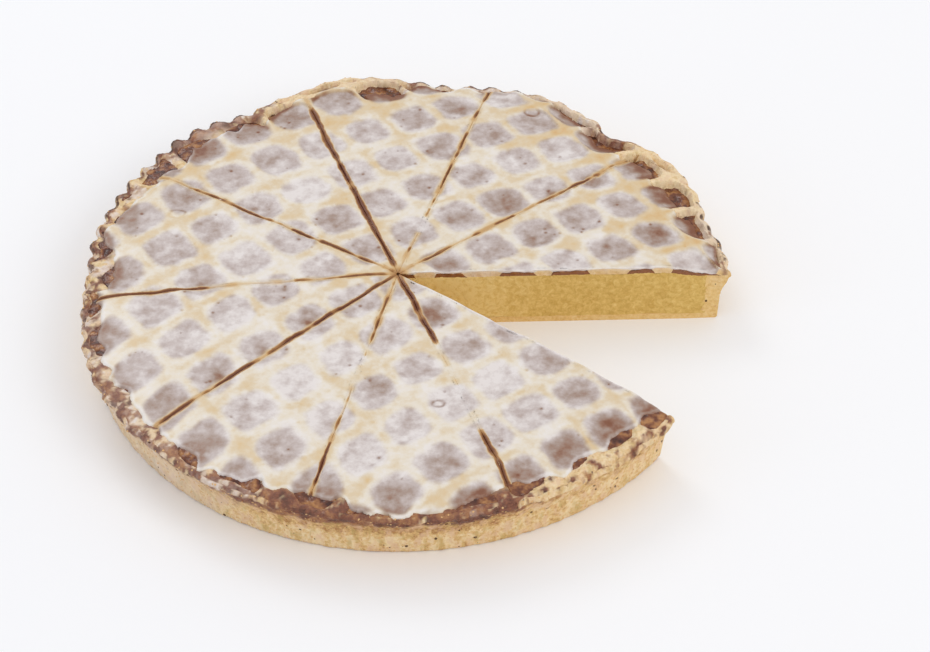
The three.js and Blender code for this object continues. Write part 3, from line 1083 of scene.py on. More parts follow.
@dataclass
class SliceMaker:
    """Spreads points over a slice and turns layers of it into closed meshes.

    The tart's axis is its place in the frame, in metres. The icing has extra columns of points
    beside its cuts, at the distances beside_cuts from them.
    """

    plan: TartPlan
    axis: Vector
    beside_cuts: tuple[float, ...] = (0.2, 0.45, 0.75, 1.1, 1.5)
    narrow_columns: int = 8
    far_off: float = 99.0
    tucked_in: float = 0.9
    thinnest: float = 0.02
    sharp_degrees: float = 50.0

    def grid(self, piece: int, spacing: float, inset: float, heal: bool = False) -> SliceGrid:
        """Spread points over a slice on arcs around the place where the cuts meet.

        Args:
            piece: The slice's number, from 0.
            spacing: The distance between points.
            inset: How far inside the lip the outermost arc lies.
            heal: True for the icing.

        Returns:
            The points, their triangles and the outline's point numbers, anticlockwise.
        """
        plan = self.plan
        start, end = plan.bearings(piece)
        span = end - start
        tip, far = plan.tip(piece, heal), plan.lip_radius
        steps = int((far - tip) / spacing)
        shares, alongs, starts = [], [], [0]
        for level in np.linspace(0, 1, steps + 1):
            width = (tip + level * (far - tip)) * span
            count = max(2, round(width / spacing) + 1)
            share = np.linspace(0, 1, count)
            if heal and width > self.narrow_columns * spacing:
                close = np.array(self.beside_cuts) / width
                share = np.concatenate([[0], close, share[1:-1], 1 - close[::-1], [1]])
            bearing = start + share * span
            shares.append(share)
            alongs.append(tip + level * (plan.lip_reach(bearing) - inset - tip))
            starts.append(starts[-1] + len(share))
        share, along = np.concatenate(shares), np.concatenate(alongs)
        x, y = plan.slice_place(piece, share, along, heal)
        first_edge, second_edge = share * span * along, (1 - share) * span * along
        nearer_first = first_edge < second_edge
        closed = np.where(nearer_first, plan.mended(piece, along), plan.mended(piece + 1, along))
        stain_and_shade = plan.stained_and_shaded_between(piece, along, first_edge, second_edge)
        face_edge = np.full_like(along, self.far_off)
        for cut, edge in ((piece, first_edge), (piece + 1, second_edge)):
            if plan.cuts[cut].open_face:
                face_edge = np.minimum(face_edge, edge)
        pairs = zip(shares, shares[1:], starts, starts[1:])
        triangles = np.concatenate([self.zip_arcs(*pair) for pair in pairs])
        first_side = np.array(starts[:-1])
        second_side = np.array(starts[1:]) - 1
        arc, tip_arc = np.arange(starts[-2], starts[-1] - 1), np.arange(starts[1] - 1, 0, -1)
        outline = np.concatenate([first_side[:-1], arc, second_side[:0:-1], tip_arc])
        cut_edge = np.minimum(first_edge, second_edge)
        return SliceGrid(x, y, cut_edge, face_edge, closed, stain_and_shade, triangles, outline)

    @staticmethod
    def zip_arcs(inner: Array, outer: Array, inner_start: int, outer_start: int) -> Array:
        """Join two rows of points with triangles, whatever their numbers.

        Args:
            inner: The shares across the slice of the inner row's points.
            outer: The same for the outer row.
            inner_start: The number of the inner row's first point.
            outer_start: The number of the outer row's first point.

        Returns:
            Each triangle's point numbers.
        """
        order = np.argsort(np.concatenate([inner[1:], outer[1:]]), kind="stable")
        on_inner = order < len(inner) - 1
        inner_at = inner_start + np.cumsum(on_inner) - on_inner
        outer_at = outer_start + np.cumsum(~on_inner) - ~on_inner
        third = np.where(on_inner, inner_at + 1, outer_at + 1)
        return np.stack([inner_at, outer_at, third], 1)

    def slab(
        self, name: str, grid: SliceGrid, top: Array, lower: Array, floor: float, looks: dict["Reads", Array]
    ) -> Piece:
        """Make a closed layer from its top surface and the height where the layer below begins.

        Args:
            name: The piece's name.
            grid: The points over the slice.
            top: The top surface's height at each point.
            lower: The height at each point down to which the layer shows at its sides.
            floor: The height of its hidden underside.
            looks: Named numbers for each point, for the material.

        Returns:
            The new object.
        """
        ring = grid.outline
        count, points = len(ring), len(grid.x)
        x, y = grid.x[ring], grid.y[ring]
        bottom = np.minimum(lower[ring], top[ring] - self.thinnest)
        middle = (top[ring] + bottom) / 2
        pull = self.tucked_in / np.maximum(np.hypot(x - x.mean(), y - y.mean()), 1.0)
        inner_x, inner_y = x + (x.mean() - x) * pull, y + (y.mean() - y) * pull
        rings = (
            (grid.x, grid.y, top),
            (x, y, middle),
            (x, y, bottom),
            (inner_x, inner_y, bottom - self.thinnest),
            (inner_x, inner_y, np.full(count, floor)),
        )
        places = np.concatenate([np.stack(columns, 1) for columns in rings])
        below = len(rings) - 1
        rows = [ring, *(points + i * count + np.arange(count) for i in range(below))]
        faces = [tuple(face) for face in grid.triangles.tolist()]
        for upper, under in zip(rows, rows[1:]):
            faces += wrapped(upper, under)
        faces.append(rows[-1][::-1].tolist())
        spread = {key: np.concatenate([value, *[value[ring]] * below]) for key, value in looks.items()}
        spread[Reads.CUT] = np.concatenate([np.zeros(points), np.ones(below * count)])
        return self.mesh(name, places, faces, spread)

    def mesh(self, name: str, places: Array, faces: list, looks: dict["Reads", Array]) -> Piece:
        """Make an object from points in plan millimetres, with named numbers for its material.

        Args:
            name: The piece's name.
            places: The points.
            faces: Each face's point numbers.
            looks: Named numbers for each point.

        Returns:
            The new object.
        """
        data = bpy.data.meshes.new(name)
        moved = places * MM + np.array([self.axis.x, self.axis.y, 0.0])
        data.from_pydata(moved.tolist(), [], faces)
        for key, values in looks.items():
            layer = data.attributes.new(key.value, "FLOAT", "POINT")
            layer.data.foreach_set("value", np.ravel(values).astype(np.float32))
        data.shade_smooth()
        data.set_sharp_from_angle(angle=math.radians(self.sharp_degrees))
        piece = bpy.data.objects.new(name, data)
        bpy.context.collection.objects.link(piece)
        return piece


class Reads(Enum):
    """The named numbers that meshes carry for their materials."""

    STRIP = "strip"
    MILK = "milk"
    TOAST = "toast"
    GLAZE = "glaze"
    VEIL = "veil"
    FLUTE = "flute_depth"
    CRUMBLE = "crumble"
    # The knife's stain beside the cuts, with painted shade where a cut stands open.
    STAIN_AND_SHADE = "stain_and_shade"
    # Painted light: how much paler the filling's face is painted towards the middle.
    PAINTED_FILL_LIGHT = "painted_fill_light"
    # How dark the patches along the lip's outer edge are.
    EDGE_DARK = "edge_dark"
    CUT = "cut_face"
    OUTSIDE = "outside"


class Finish:
    """A material, with the parts that several finishes share."""

    name: str

    def build(self) -> Material:
        """Make the material."""
        material = bpy.data.materials.new(self.name)
        material.use_nodes = True
        tree = material.node_tree
        plug(tree, tree.nodes["Principled BSDF"], self.surface(tree))
        return material

    def surface(self, tree: Tree) -> dict[str, object]:
        """Add the finish's own nodes and return the surface node's inputs."""
        raise NotImplementedError

    @staticmethod
    def place(tree: Tree) -> Socket:
        """Each point's place on its piece."""
        return add_node(tree, "ShaderNodeTexCoord").outputs["Object"]

    @staticmethod
    def carried(tree: Tree, *names: Reads) -> list[Socket]:
        """The numbers that the mesh carries under some names."""
        nodes = [add_node(tree, "ShaderNodeAttribute", attribute_name=name.value) for name in names]
        return [node.outputs["Fac"] for node in nodes]

    @staticmethod
    def specks(tree: Tree, where: Socket, spacing_mm: float, rarity: float, largest: float) -> Node:
        """Scatter round specks of different sizes.

        Args:
            tree: The material's tree.
            where: Each point's place.
            spacing_mm: How far apart the specks are.
            rarity: The share of places that stay bare.
            largest: The largest speck's radius, as a share of the spacing.

        Returns:
            A node that gives 1 in a speck and 0 elsewhere.
        """
        cells = add_node(tree, "ShaderNodeTexVoronoi", {"Vector": where, "Scale": 1 / (spacing_mm * MM)})
        drawn = {"Value": cells.outputs["Color"], "From Min": rarity, "To Max": largest}
        size = add_node(tree, "ShaderNodeMapRange", drawn)
        return add_node(tree, "ShaderNodeMath", {0: cells, 1: size}, operation="LESS_THAN")


@dataclass(frozen=True)
class WaterIcing(Finish):
    """Set water icing, poured thin: milky white where it is thick, and half clear elsewhere.

    Over pastry it turns cream to yellow, and over jam a cool grey lilac, because a thin milky film
    scatters more blue than red. Its skin is satin, with the odd wrinkle.
    """

    name = "water_icing"
    over_jam: Ramp = (
        (0.0, "#7F4E33"), (0.1, "#83543C"), (0.25, "#946F5A"), (0.48, "#A99488"), (0.7, "#C3B5AF"),
        (1.0, "#E5DDD8"),
    )
    over_pastry: Ramp = (
        (0.0, "#D6A96D"), (0.3, "#DABD8E"), (0.55, "#DDC9A8"), (0.78, "#E6DBC8"), (1.0, "#EAE3DB"),
    )
    # The knife's marks: jam brown, darkest where a cut stands open, which is painted shade.
    knife_stain_and_shade: Ramp = ((0.1, "#E4D4B4"), (0.3, "#D0AA74"), (0.52, "#A87642"), (0.95, "#6C3718"))
    fully_stained: float = 0.35
    roughness: Span = (0.28, 0.48)
    mottle: float = 0.14
    # Cloudy patches and drying wrinkles: real wrinkles are finer, and are drawn as coarse as they show.
    mottle_mm: float = 3.4
    wrinkle_mm: float = 1.4

    def surface(self, tree: Tree) -> dict[str, object]:
        """Mix the colours over jam and over pastry, and stain them beside the knife cuts, with painted shade
        where a cut stands open.

        Args:
            tree: The material's tree.

        Returns:
            The surface node's inputs.
        """
        where = self.place(tree)
        strip, milk, stain_and_shade = self.carried(tree, Reads.STRIP, Reads.MILK, Reads.STAIN_AND_SHADE)
        mottles = {"Vector": where, "Scale": 1 / (self.mottle_mm * MM), "Detail": 4.0, "Roughness": 0.62}
        mottled = add_node(tree, "ShaderNodeTexNoise", mottles)
        spread = {"Value": mottled, "From Min": 0.3, "From Max": 0.7}
        shift, sheen = (
            add_node(tree, "ShaderNodeMapRange", {**spread, "To Min": low, "To Max": high})
            for low, high in ((-self.mottle, self.mottle), self.roughness)
        )
        clouded = add_node(tree, "ShaderNodeMath", {0: milk, 1: shift}, operation="ADD", use_clamp=True)
        jam, pastry = (
            add_node(tree, "ShaderNodeValToRGB", {"Fac": clouded}, ramp)
            for ramp in (self.over_jam, self.over_pastry)
        )
        dragged = add_node(tree, "ShaderNodeValToRGB", {"Fac": stain_and_shade}, self.knife_stain_and_shade)
        stain_and_shade_share = add_node(tree, "ShaderNodeMapRange", {"Value": stain_and_shade, "From Max": self.fully_stained})
        plain = add_node(tree, "ShaderNodeMix", {0: strip, 6: jam, 7: pastry}, data_type="RGBA")
        colour = add_node(tree, "ShaderNodeMix", {0: stain_and_shade_share, 6: plain, 7: dragged}, data_type="RGBA")
        creases = {"Vector": where, "Scale": 1 / (self.wrinkle_mm * MM), "Detail": 3.0}
        wrinkle = add_node(tree, "ShaderNodeTexNoise", creases)
        depth = {"Height": wrinkle, "Strength": 0.25, "Distance": 0.25 * MM}
        bump = add_node(tree, "ShaderNodeBump", depth)
        return {"Base Color": colour, "Roughness": sheen, "Normal": bump, "IOR": 1.47}


@dataclass(frozen=True)
class BakedJam(Finish):
    """Jam boiled in the oven and set: dark, sticky and glossy, with seeds and burst bubbles."""

    name = "baked_jam"
    # The lumps' tops come out lighter and their hollows darker: partly the jam's own uneven colour, partly
    # painted highlight and shade.
    boiled: Ramp = ((0.34, "#452319"), (0.5, "#74422A"), (0.68, "#B07C4C"))
    # Painted light: the jam's cut sides are painted paler to lift the shade on those upright faces.
    cut_side_painted_light: str = "#8A5530"
    roughness: float = 0.16
    # Seeds and blisters under the skin.
    lump_mm: float = 4.0

    def surface(self, tree: Tree) -> dict[str, object]:
        """Colour and raise the lumps, lighter on top as partly painted highlight, and lay one even, paler
        colour where the knife went through, as painted light on those upright faces.

        Args:
            tree: The material's tree.

        Returns:
            The surface node's inputs.
        """
        shapes = {"Vector": self.place(tree), "Scale": 1 / (self.lump_mm * MM), "Detail": 2.0}
        lumps = add_node(tree, "ShaderNodeTexNoise", shapes)
        boiled = add_node(tree, "ShaderNodeValToRGB", {"Fac": lumps}, self.boiled)
        (cut,) = self.carried(tree, Reads.CUT)
        shown = {0: cut, 6: boiled, 7: linear(self.cut_side_painted_light)}
        colour = add_node(tree, "ShaderNodeMix", shown, data_type="RGBA")
        bump = add_node(tree, "ShaderNodeBump", {"Height": lumps, "Strength": 0.8, "Distance": 1.6 * MM})
        return {"Base Color": colour, "Roughness": self.roughness, "Normal": bump, "IOR": 1.45}


@dataclass(frozen=True)
class Shortcrust(Finish):
    """Baked sweet shortcrust: matt and sandy, pale gold, browner where it caught the heat.

    Jam that boiled over leaves a glossy brown film on it, and icing that ran over turns it milky.
    """

    name = "shortcrust"
    baked: Ramp = ((0.0, "#F6DDAF"), (0.5, "#E6BF80"), (1.0, "#B17C44"))
    rosy: str = "#E6C09C"
    olive: str = "#C9AA66"
    speck: str = "#6B4527"
    inside: Ramp = ((0.3, "#DDB269"), (0.5, "#EBC580"), (0.7, "#F2D296"))
    film: Ramp = ((0.36, "#582E1C"), (0.5, "#82482C"), (0.64, "#AC7441"))
    veil: Ramp = ((0.36, "#CFB49E"), (0.5, "#E6D4C6"), (0.62, "#F0E6DE"))
    # The colour of the dark patches along the lip's outer edge.
    burnt: str = "#54351F"
    pale_at: float = 1.85
    brown_at: float = 2.7
    tint: float = 0.7
    dry: float = 0.74
    wet: float = 0.4
    # Sandy grain, uneven baking, streaks down the wall, drifts of hue, and specks of bran.
    grain_mm: float = 1.5
    cloud_mm: float = 6.0
    streak_mm: float = 3.0
    hue_mm: float = 4.0
    speck_mm: float = 2.8

    def surface(self, tree: Tree) -> dict[str, object]:
        """Bake the dough unevenly, then lay specks, jam film, icing and the dark patches at the lip's edge
        over it in turn.

        Args:
            tree: The material's tree.

        Returns:
            The surface node's inputs.
        """
        where = self.place(tree)
        upright = add_node(tree, "ShaderNodeMapping", {"Vector": where, "Scale": (1.0, 1.0, 0.5)})
        toast, glaze, veil, edge_dark, cut = self.carried(
            tree, Reads.TOAST, Reads.GLAZE, Reads.VEIL, Reads.EDGE_DARK, Reads.CUT
        )
        patterns = (
            {"Vector": vector, "Scale": 1 / (size * MM), "Detail": detail, "Roughness": 0.65}
            for vector, size, detail in (
                (where, self.cloud_mm, 5.0), (where, self.grain_mm, 4.0),
                (upright, self.streak_mm, 3.0), (upright, self.hue_mm, 2.0),
            )
        )
        cloud, grain, streak, hue = (add_node(tree, "ShaderNodeTexNoise", shape) for shape in patterns)
        level = toast
        for noise, weight in ((cloud, 1.2), (grain, 1.3), (streak, 1.3)):
            terms = {0: noise, 1: weight, 2: level}
            level = add_node(tree, "ShaderNodeMath", terms, operation="MULTIPLY_ADD")
        baked = {"Value": level, "From Min": self.pale_at, "From Max": self.brown_at}
        heat = add_node(tree, "ShaderNodeMapRange", baked)
        dough, inside, film, milk = (
            add_node(tree, "ShaderNodeValToRGB", {"Fac": amount}, ramp)
            for amount, ramp in (
                (heat, self.baked), (grain, self.inside), (cloud, self.film), (cloud, self.veil)
            )
        )
        tints = (
            {"Value": hue, "From Min": start, "From Max": end, "To Max": self.tint}
            for start, end in ((0.5, 0.32), (0.52, 0.72))
        )
        rosy, olive = (add_node(tree, "ShaderNodeMapRange", tint) for tint in tints)
        colour = dough
        for amount, coat in (
            (rosy, linear(self.rosy)),
            (olive, linear(self.olive)),
            (self.specks(tree, where, self.speck_mm, rarity=0.5, largest=0.2), linear(self.speck)),
            (cut, inside),
            (glaze, film),
            (veil, milk),
            (edge_dark, linear(self.burnt)),
        ):
            colour = add_node(tree, "ShaderNodeMix", {0: amount, 6: colour, 7: coat}, data_type="RGBA")
        wetness = add_node(tree, "ShaderNodeMath", {0: glaze, 1: veil}, operation="MAXIMUM")
        shine = {"Value": wetness, "To Min": self.dry, "To Max": self.wet}
        sheen = add_node(tree, "ShaderNodeMapRange", shine)
        bump = add_node(tree, "ShaderNodeBump", {"Height": grain, "Strength": 0.8, "Distance": 0.9 * MM})
        return {"Base Color": colour, "Roughness": sheen, "Normal": bump}


@dataclass(frozen=True)
class AlmondCrumb(Finish):
    """Cut frangipane: a moist, dense almond sponge with fine pores, bran specks and a matt face, painted
    paler towards the middle as painted light.
    """

    name = "almond_crumb"
    sponge: Ramp = ((0.3, "#CAA250"), (0.5, "#DDB968"), (0.7, "#EDD08A"))
    speck: str = "#8C6232"
    roughness: float = 0.82
    # Torn crumbs, and the spacing of the specks of almond skin.
    crumb_mm: float = 2.1
    speck_mm: float = 4.2
    # Painted light: how much paler the face is painted towards the middle, lifting the shade that the slices
    # beside the gap cast on its inner end.
    painted_fill_light: float = 0.26

    def surface(self, tree: Tree) -> dict[str, object]:
        """Colour the crumb, with bran specks in it, and paint it paler towards the middle as painted light.

        Args:
            tree: The material's tree.

        Returns:
            The surface node's inputs.
        """
        where = self.place(tree)
        pores = {"Scale": 1 / (self.crumb_mm * MM), "Detail": 5.0, "Roughness": 0.68, "Distortion": 0.6}
        crumb = add_node(tree, "ShaderNodeTexNoise", {"Vector": where, **pores})
        (middle,) = self.carried(tree, Reads.PAINTED_FILL_LIGHT)
        terms = {0: middle, 1: self.painted_fill_light, 2: crumb}
        pale = add_node(tree, "ShaderNodeMath", terms, operation="MULTIPLY_ADD")
        sponge = add_node(tree, "ShaderNodeValToRGB", {"Fac": pale}, self.sponge)
        bran = self.specks(tree, where, self.speck_mm, rarity=0.45, largest=0.17)
        speckled = {0: bran, 6: sponge, 7: linear(self.speck)}
        colour = add_node(tree, "ShaderNodeMix", speckled, data_type="RGBA")
        bump = add_node(tree, "ShaderNodeBump", {"Height": crumb, "Strength": 0.5, "Distance": 0.6 * MM})
        return {"Base Color": colour, "Roughness": self.roughness, "Normal": bump}


@dataclass(frozen=True)
class EvenFinish(Finish):
    """A matt finish of one even colour: dry baked crumbs, burnt flecks or a smooth painted table."""

    name: str
    colour: str
    roughness: float = 0.8
    specular: float = 0.5

    def surface(self, tree: Tree) -> dict[str, object]:
        """Set the colour and how matt it is."""
        even = {"Base Color": linear(self.colour), "Roughness": self.roughness}
        return {**even, "Specular IOR Level": self.specular}


@dataclass(frozen=True)
class Finishes:
    """Every material that several pieces share, made once."""

    icing: Material
    jam: Material
    crust: Material
    crumb: Material


def dress(piece: Piece, slot: str, *nodes: str, material: Material | None = None) -> None:
    """Give a finished piece its material, hang it on the root body and hide the CAD nodes it replaces.

    Args:
        piece: The piece, with its place in its mesh.
        slot: The record's material slot. It is not used.
        nodes: The CAD nodes that it replaces.
        material: Its material, unless its mesh has one.
    """
    if material:
        piece.data.materials.clear()
        piece.data.materials.append(material)
    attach(piece, "root")
    if nodes:
        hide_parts(*nodes)
    LOG.info("%s: %d faces", piece.name, len(piece.data.polygons))


class ShapeRule:
    """A Geometry Nodes tree that reshapes or covers a piece, whose result is kept as a mesh."""

    name = "shape_rule"
    inputs: dict[str, object] = {}
    kinds = {float: "NodeSocketFloat", int: "NodeSocketInt", tuple: "NodeSocketVector"}

    def tree(self, material: Material) -> Tree:
        """Build the tree with its named inputs, ending in Realize Instances and Set Material.

        Args:
            material: The material that the tree sets.

        Returns:
            The tree.
        """
        tree = bpy.data.node_groups.new(self.name, "GeometryNodeTree")
        tree.interface.new_socket("Geometry", in_out="INPUT", socket_type="NodeSocketGeometry")
        for label, value in self.inputs.items():
            kind = self.kinds[type(value)]
            tree.interface.new_socket(label, in_out="INPUT", socket_type=kind).default_value = value
        tree.interface.new_socket("Geometry", in_out="OUTPUT", socket_type="NodeSocketGeometry")
        shaped = self.shape(tree, add_node(tree, "NodeGroupInput"))
        real = add_node(tree, "GeometryNodeRealizeInstances", {"Geometry": shaped})
        painted = add_node(tree, "GeometryNodeSetMaterial", {"Geometry": real, "Material": material})
        add_node(tree, "NodeGroupOutput", {"Geometry": painted})
        return tree

    def shape(self, tree: Tree, given: Node) -> Node:
        """Add the nodes that do the work and return the last of them."""
        raise NotImplementedError

    @staticmethod
    def carried(tree: Tree, name: Reads) -> Node:
        """Read the number that the mesh carries under a name."""
        return add_node(tree, "GeometryNodeInputNamedAttribute", {"Name": name.value}, data_type="FLOAT")

    @staticmethod
    def noise(tree: Tree, size: Socket, detail: float) -> Node:
        """Add noise over the piece whose lumps have the size that an input gives.

        Args:
            tree: The geometry tree.
            size: The input that gives the size.
            detail: How much finer noise is laid into it.

        Returns:
            The noise node.
        """
        fineness = add_node(tree, "ShaderNodeMath", {0: 1.0, 1: size}, operation="DIVIDE")
        place = add_node(tree, "GeometryNodeInputPosition")
        lumps = {"Vector": place, "Scale": fineness, "Detail": detail, "Roughness": 0.7}
        return add_node(tree, "ShaderNodeTexNoise", lumps)

    @staticmethod
    def along_normal(tree: Tree, distance: Node) -> Node:
        """Turn a distance into a move along each point's normal."""
        move = {0: add_node(tree, "GeometryNodeInputNormal"), "Scale": distance}
        return add_node(tree, "ShaderNodeVectorMath", move, operation="SCALE")

    @staticmethod
    def apply(piece: Piece, tree: Tree, values: dict[str, object]) -> None:
        """Run a tree on a piece and keep the result as the piece's own plain mesh.

        Args:
            piece: The object whose mesh is reshaped.
            tree: The tree to run.
            values: Input values by the inputs' names.
        """
        modifier = piece.modifiers.new(tree.name, "NODES")
        modifier.node_group = tree
        for item in tree.interface.items_tree:
            if item.in_out == "INPUT" and item.name in values:
                modifier[item.identifier] = values[item.name]
        bpy.context.view_layer.update()
        evaluated = piece.evaluated_get(bpy.context.evaluated_depsgraph_get())
        result = bpy.data.meshes.new_from_object(evaluated)
        piece.modifiers.clear()
        piece.data = result


class FlutePress(ShapeRule):
    """Presses the tin's flutes into a plain crust and roughens it like sandy dough.

    Real dough's grain is finer than Grain Size: it is drawn as coarse as it needs to show.
    """

    name = "flute_press"
    inputs = {"Flutes": 80.0, "Axis": (0.0, 0.0, 0.0), "Grain Size": 0.0032, "Grain Depth": 0.0026}

    def shape(self, tree: Tree, given: Node) -> Node:
        """Move each point outwards by its share of a cosine wave, then along its normal by noise.

        Args:
            tree: The geometry tree.
            given: The node that gives the tree's inputs.

        Returns:
            The last node, which gives the new shape.
        """
        number_math = "ShaderNodeMath"
        vector_math = "ShaderNodeVectorMath"
        place = add_node(tree, "GeometryNodeInputPosition")
        away = add_node(tree, vector_math, {0: place, 1: given.outputs["Axis"]}, operation="SUBTRACT")
        flat = add_node(tree, vector_math, {0: away, 1: (1.0, 1.0, 0.0)}, operation="MULTIPLY")
        outwards = add_node(tree, vector_math, {0: flat}, operation="NORMALIZE")
        parts = add_node(tree, "ShaderNodeSeparateXYZ", {0: flat}).outputs
        angle = add_node(tree, number_math, {0: parts["Y"], 1: parts["X"]}, operation="ARCTAN2")
        turns = add_node(tree, number_math, {0: angle, 1: given.outputs["Flutes"]}, operation="MULTIPLY")
        wave = add_node(tree, number_math, {0: turns}, operation="COSINE")
        depth = {0: wave, 1: self.carried(tree, Reads.FLUTE)}
        push = add_node(tree, number_math, depth, operation="MULTIPLY")
        flute = add_node(tree, vector_math, {0: outwards, "Scale": push}, operation="SCALE")
        grain = self.noise(tree, given.outputs["Grain Size"], 4.0)
        centred = add_node(tree, number_math, {0: grain, 1: 0.55}, operation="SUBTRACT")
        crumble = {0: centred, 1: self.carried(tree, Reads.CRUMBLE)}
        rough = add_node(tree, number_math, crumble, operation="MULTIPLY")
        lift = add_node(tree, number_math, {0: rough, 1: given.outputs["Grain Depth"]}, operation="MULTIPLY")
        offset = add_node(tree, vector_math, {0: flute, 1: self.along_normal(tree, lift)}, operation="ADD")
        return add_node(tree, "GeometryNodeSetPosition", {"Geometry": given, "Offset": offset})


class TornCrumb(ShapeRule):
    """Roughens the knife-cut faces of the filling, as a blade drags crumbs out of a moist sponge."""

    name = "torn_crumb"
    inputs = {"Crumb Size": 0.0025, "Crumb Depth": 0.0007}

    def shape(self, tree: Tree, given: Node) -> Node:
        """Move each point in or out along its normal by layered noise.

        Args:
            tree: The geometry tree.
            given: The node that gives the tree's inputs.

        Returns:
            The last node, which gives the new shape.
        """
        crumb = self.noise(tree, given.outputs["Crumb Size"], 3.0)
        inwards = add_node(tree, "ShaderNodeMath", {0: 0.5, 1: crumb}, operation="SUBTRACT")
        scaled = {0: inwards, 1: given.outputs["Crumb Depth"]}
        depth = add_node(tree, "ShaderNodeMath", scaled, operation="MULTIPLY")
        move = {"Geometry": given, "Offset": self.along_normal(tree, depth)}
        return add_node(tree, "GeometryNodeSetPosition", move)


class Scatter(ShapeRule):
    """Strews small rough lumps over the outside of a crust: loose crumbs, or burnt flecks."""

    name = "scatter"
    inputs = {"Density": 60000.0, "Smallest": 0.00025, "Largest": 0.0006, "Flatness": 0.5, "Seed": 1}

    def shape(self, tree: Tree, given: Node) -> Node:
        """Set small icospheres of random size on points spread over the outside faces.

        Args:
            tree: The geometry tree.
            given: The node that gives the tree's inputs.

        Returns:
            The last node, which gives the new shape.
        """
        outside = {0: self.carried(tree, Reads.OUTSIDE), 1: 0.99}
        spread = {
            "Mesh": given,
            "Selection": add_node(tree, "ShaderNodeMath", outside, operation="GREATER_THAN"),
            "Density": given.outputs["Density"],
            "Seed": given.outputs["Seed"],
        }
        points = add_node(tree, "GeometryNodeDistributePointsOnFaces", spread)
        span = {"Min": given.outputs["Smallest"], "Max": given.outputs["Largest"]}
        wide, tall = (
            add_node(tree, "FunctionNodeRandomValue", {**span, "Seed": seed}, data_type="FLOAT")
            for seed in (3, 8)
        )
        squash = {0: tall, 1: given.outputs["Flatness"]}
        flat = add_node(tree, "ShaderNodeMath", squash, operation="MULTIPLY")
        placed = {
            "Points": points,
            "Instance": add_node(tree, "GeometryNodeMeshIcoSphere", {"Radius": 1.0, "Subdivisions": 1}),
            "Rotation": points.outputs["Rotation"],
            "Scale": add_node(tree, "ShaderNodeCombineXYZ", {"X": wide, "Y": tall, "Z": flat}),
        }
        return add_node(tree, "GeometryNodeInstanceOnPoints", placed)

    def strew(self, name: str, crust: Piece, tree: Tree, values: dict[str, object]) -> None:
        """Make one piece of scattered lumps on a crust.

        Args:
            name: The piece's name.
            crust: The finished crust.
            tree: The tree to run.
            values: Input values by the inputs' names.
        """
        piece = bpy.data.objects.new(name, crust.data.copy())
        bpy.context.collection.objects.link(piece)
        self.apply(piece, tree, values)
        dress(piece, "pastry")


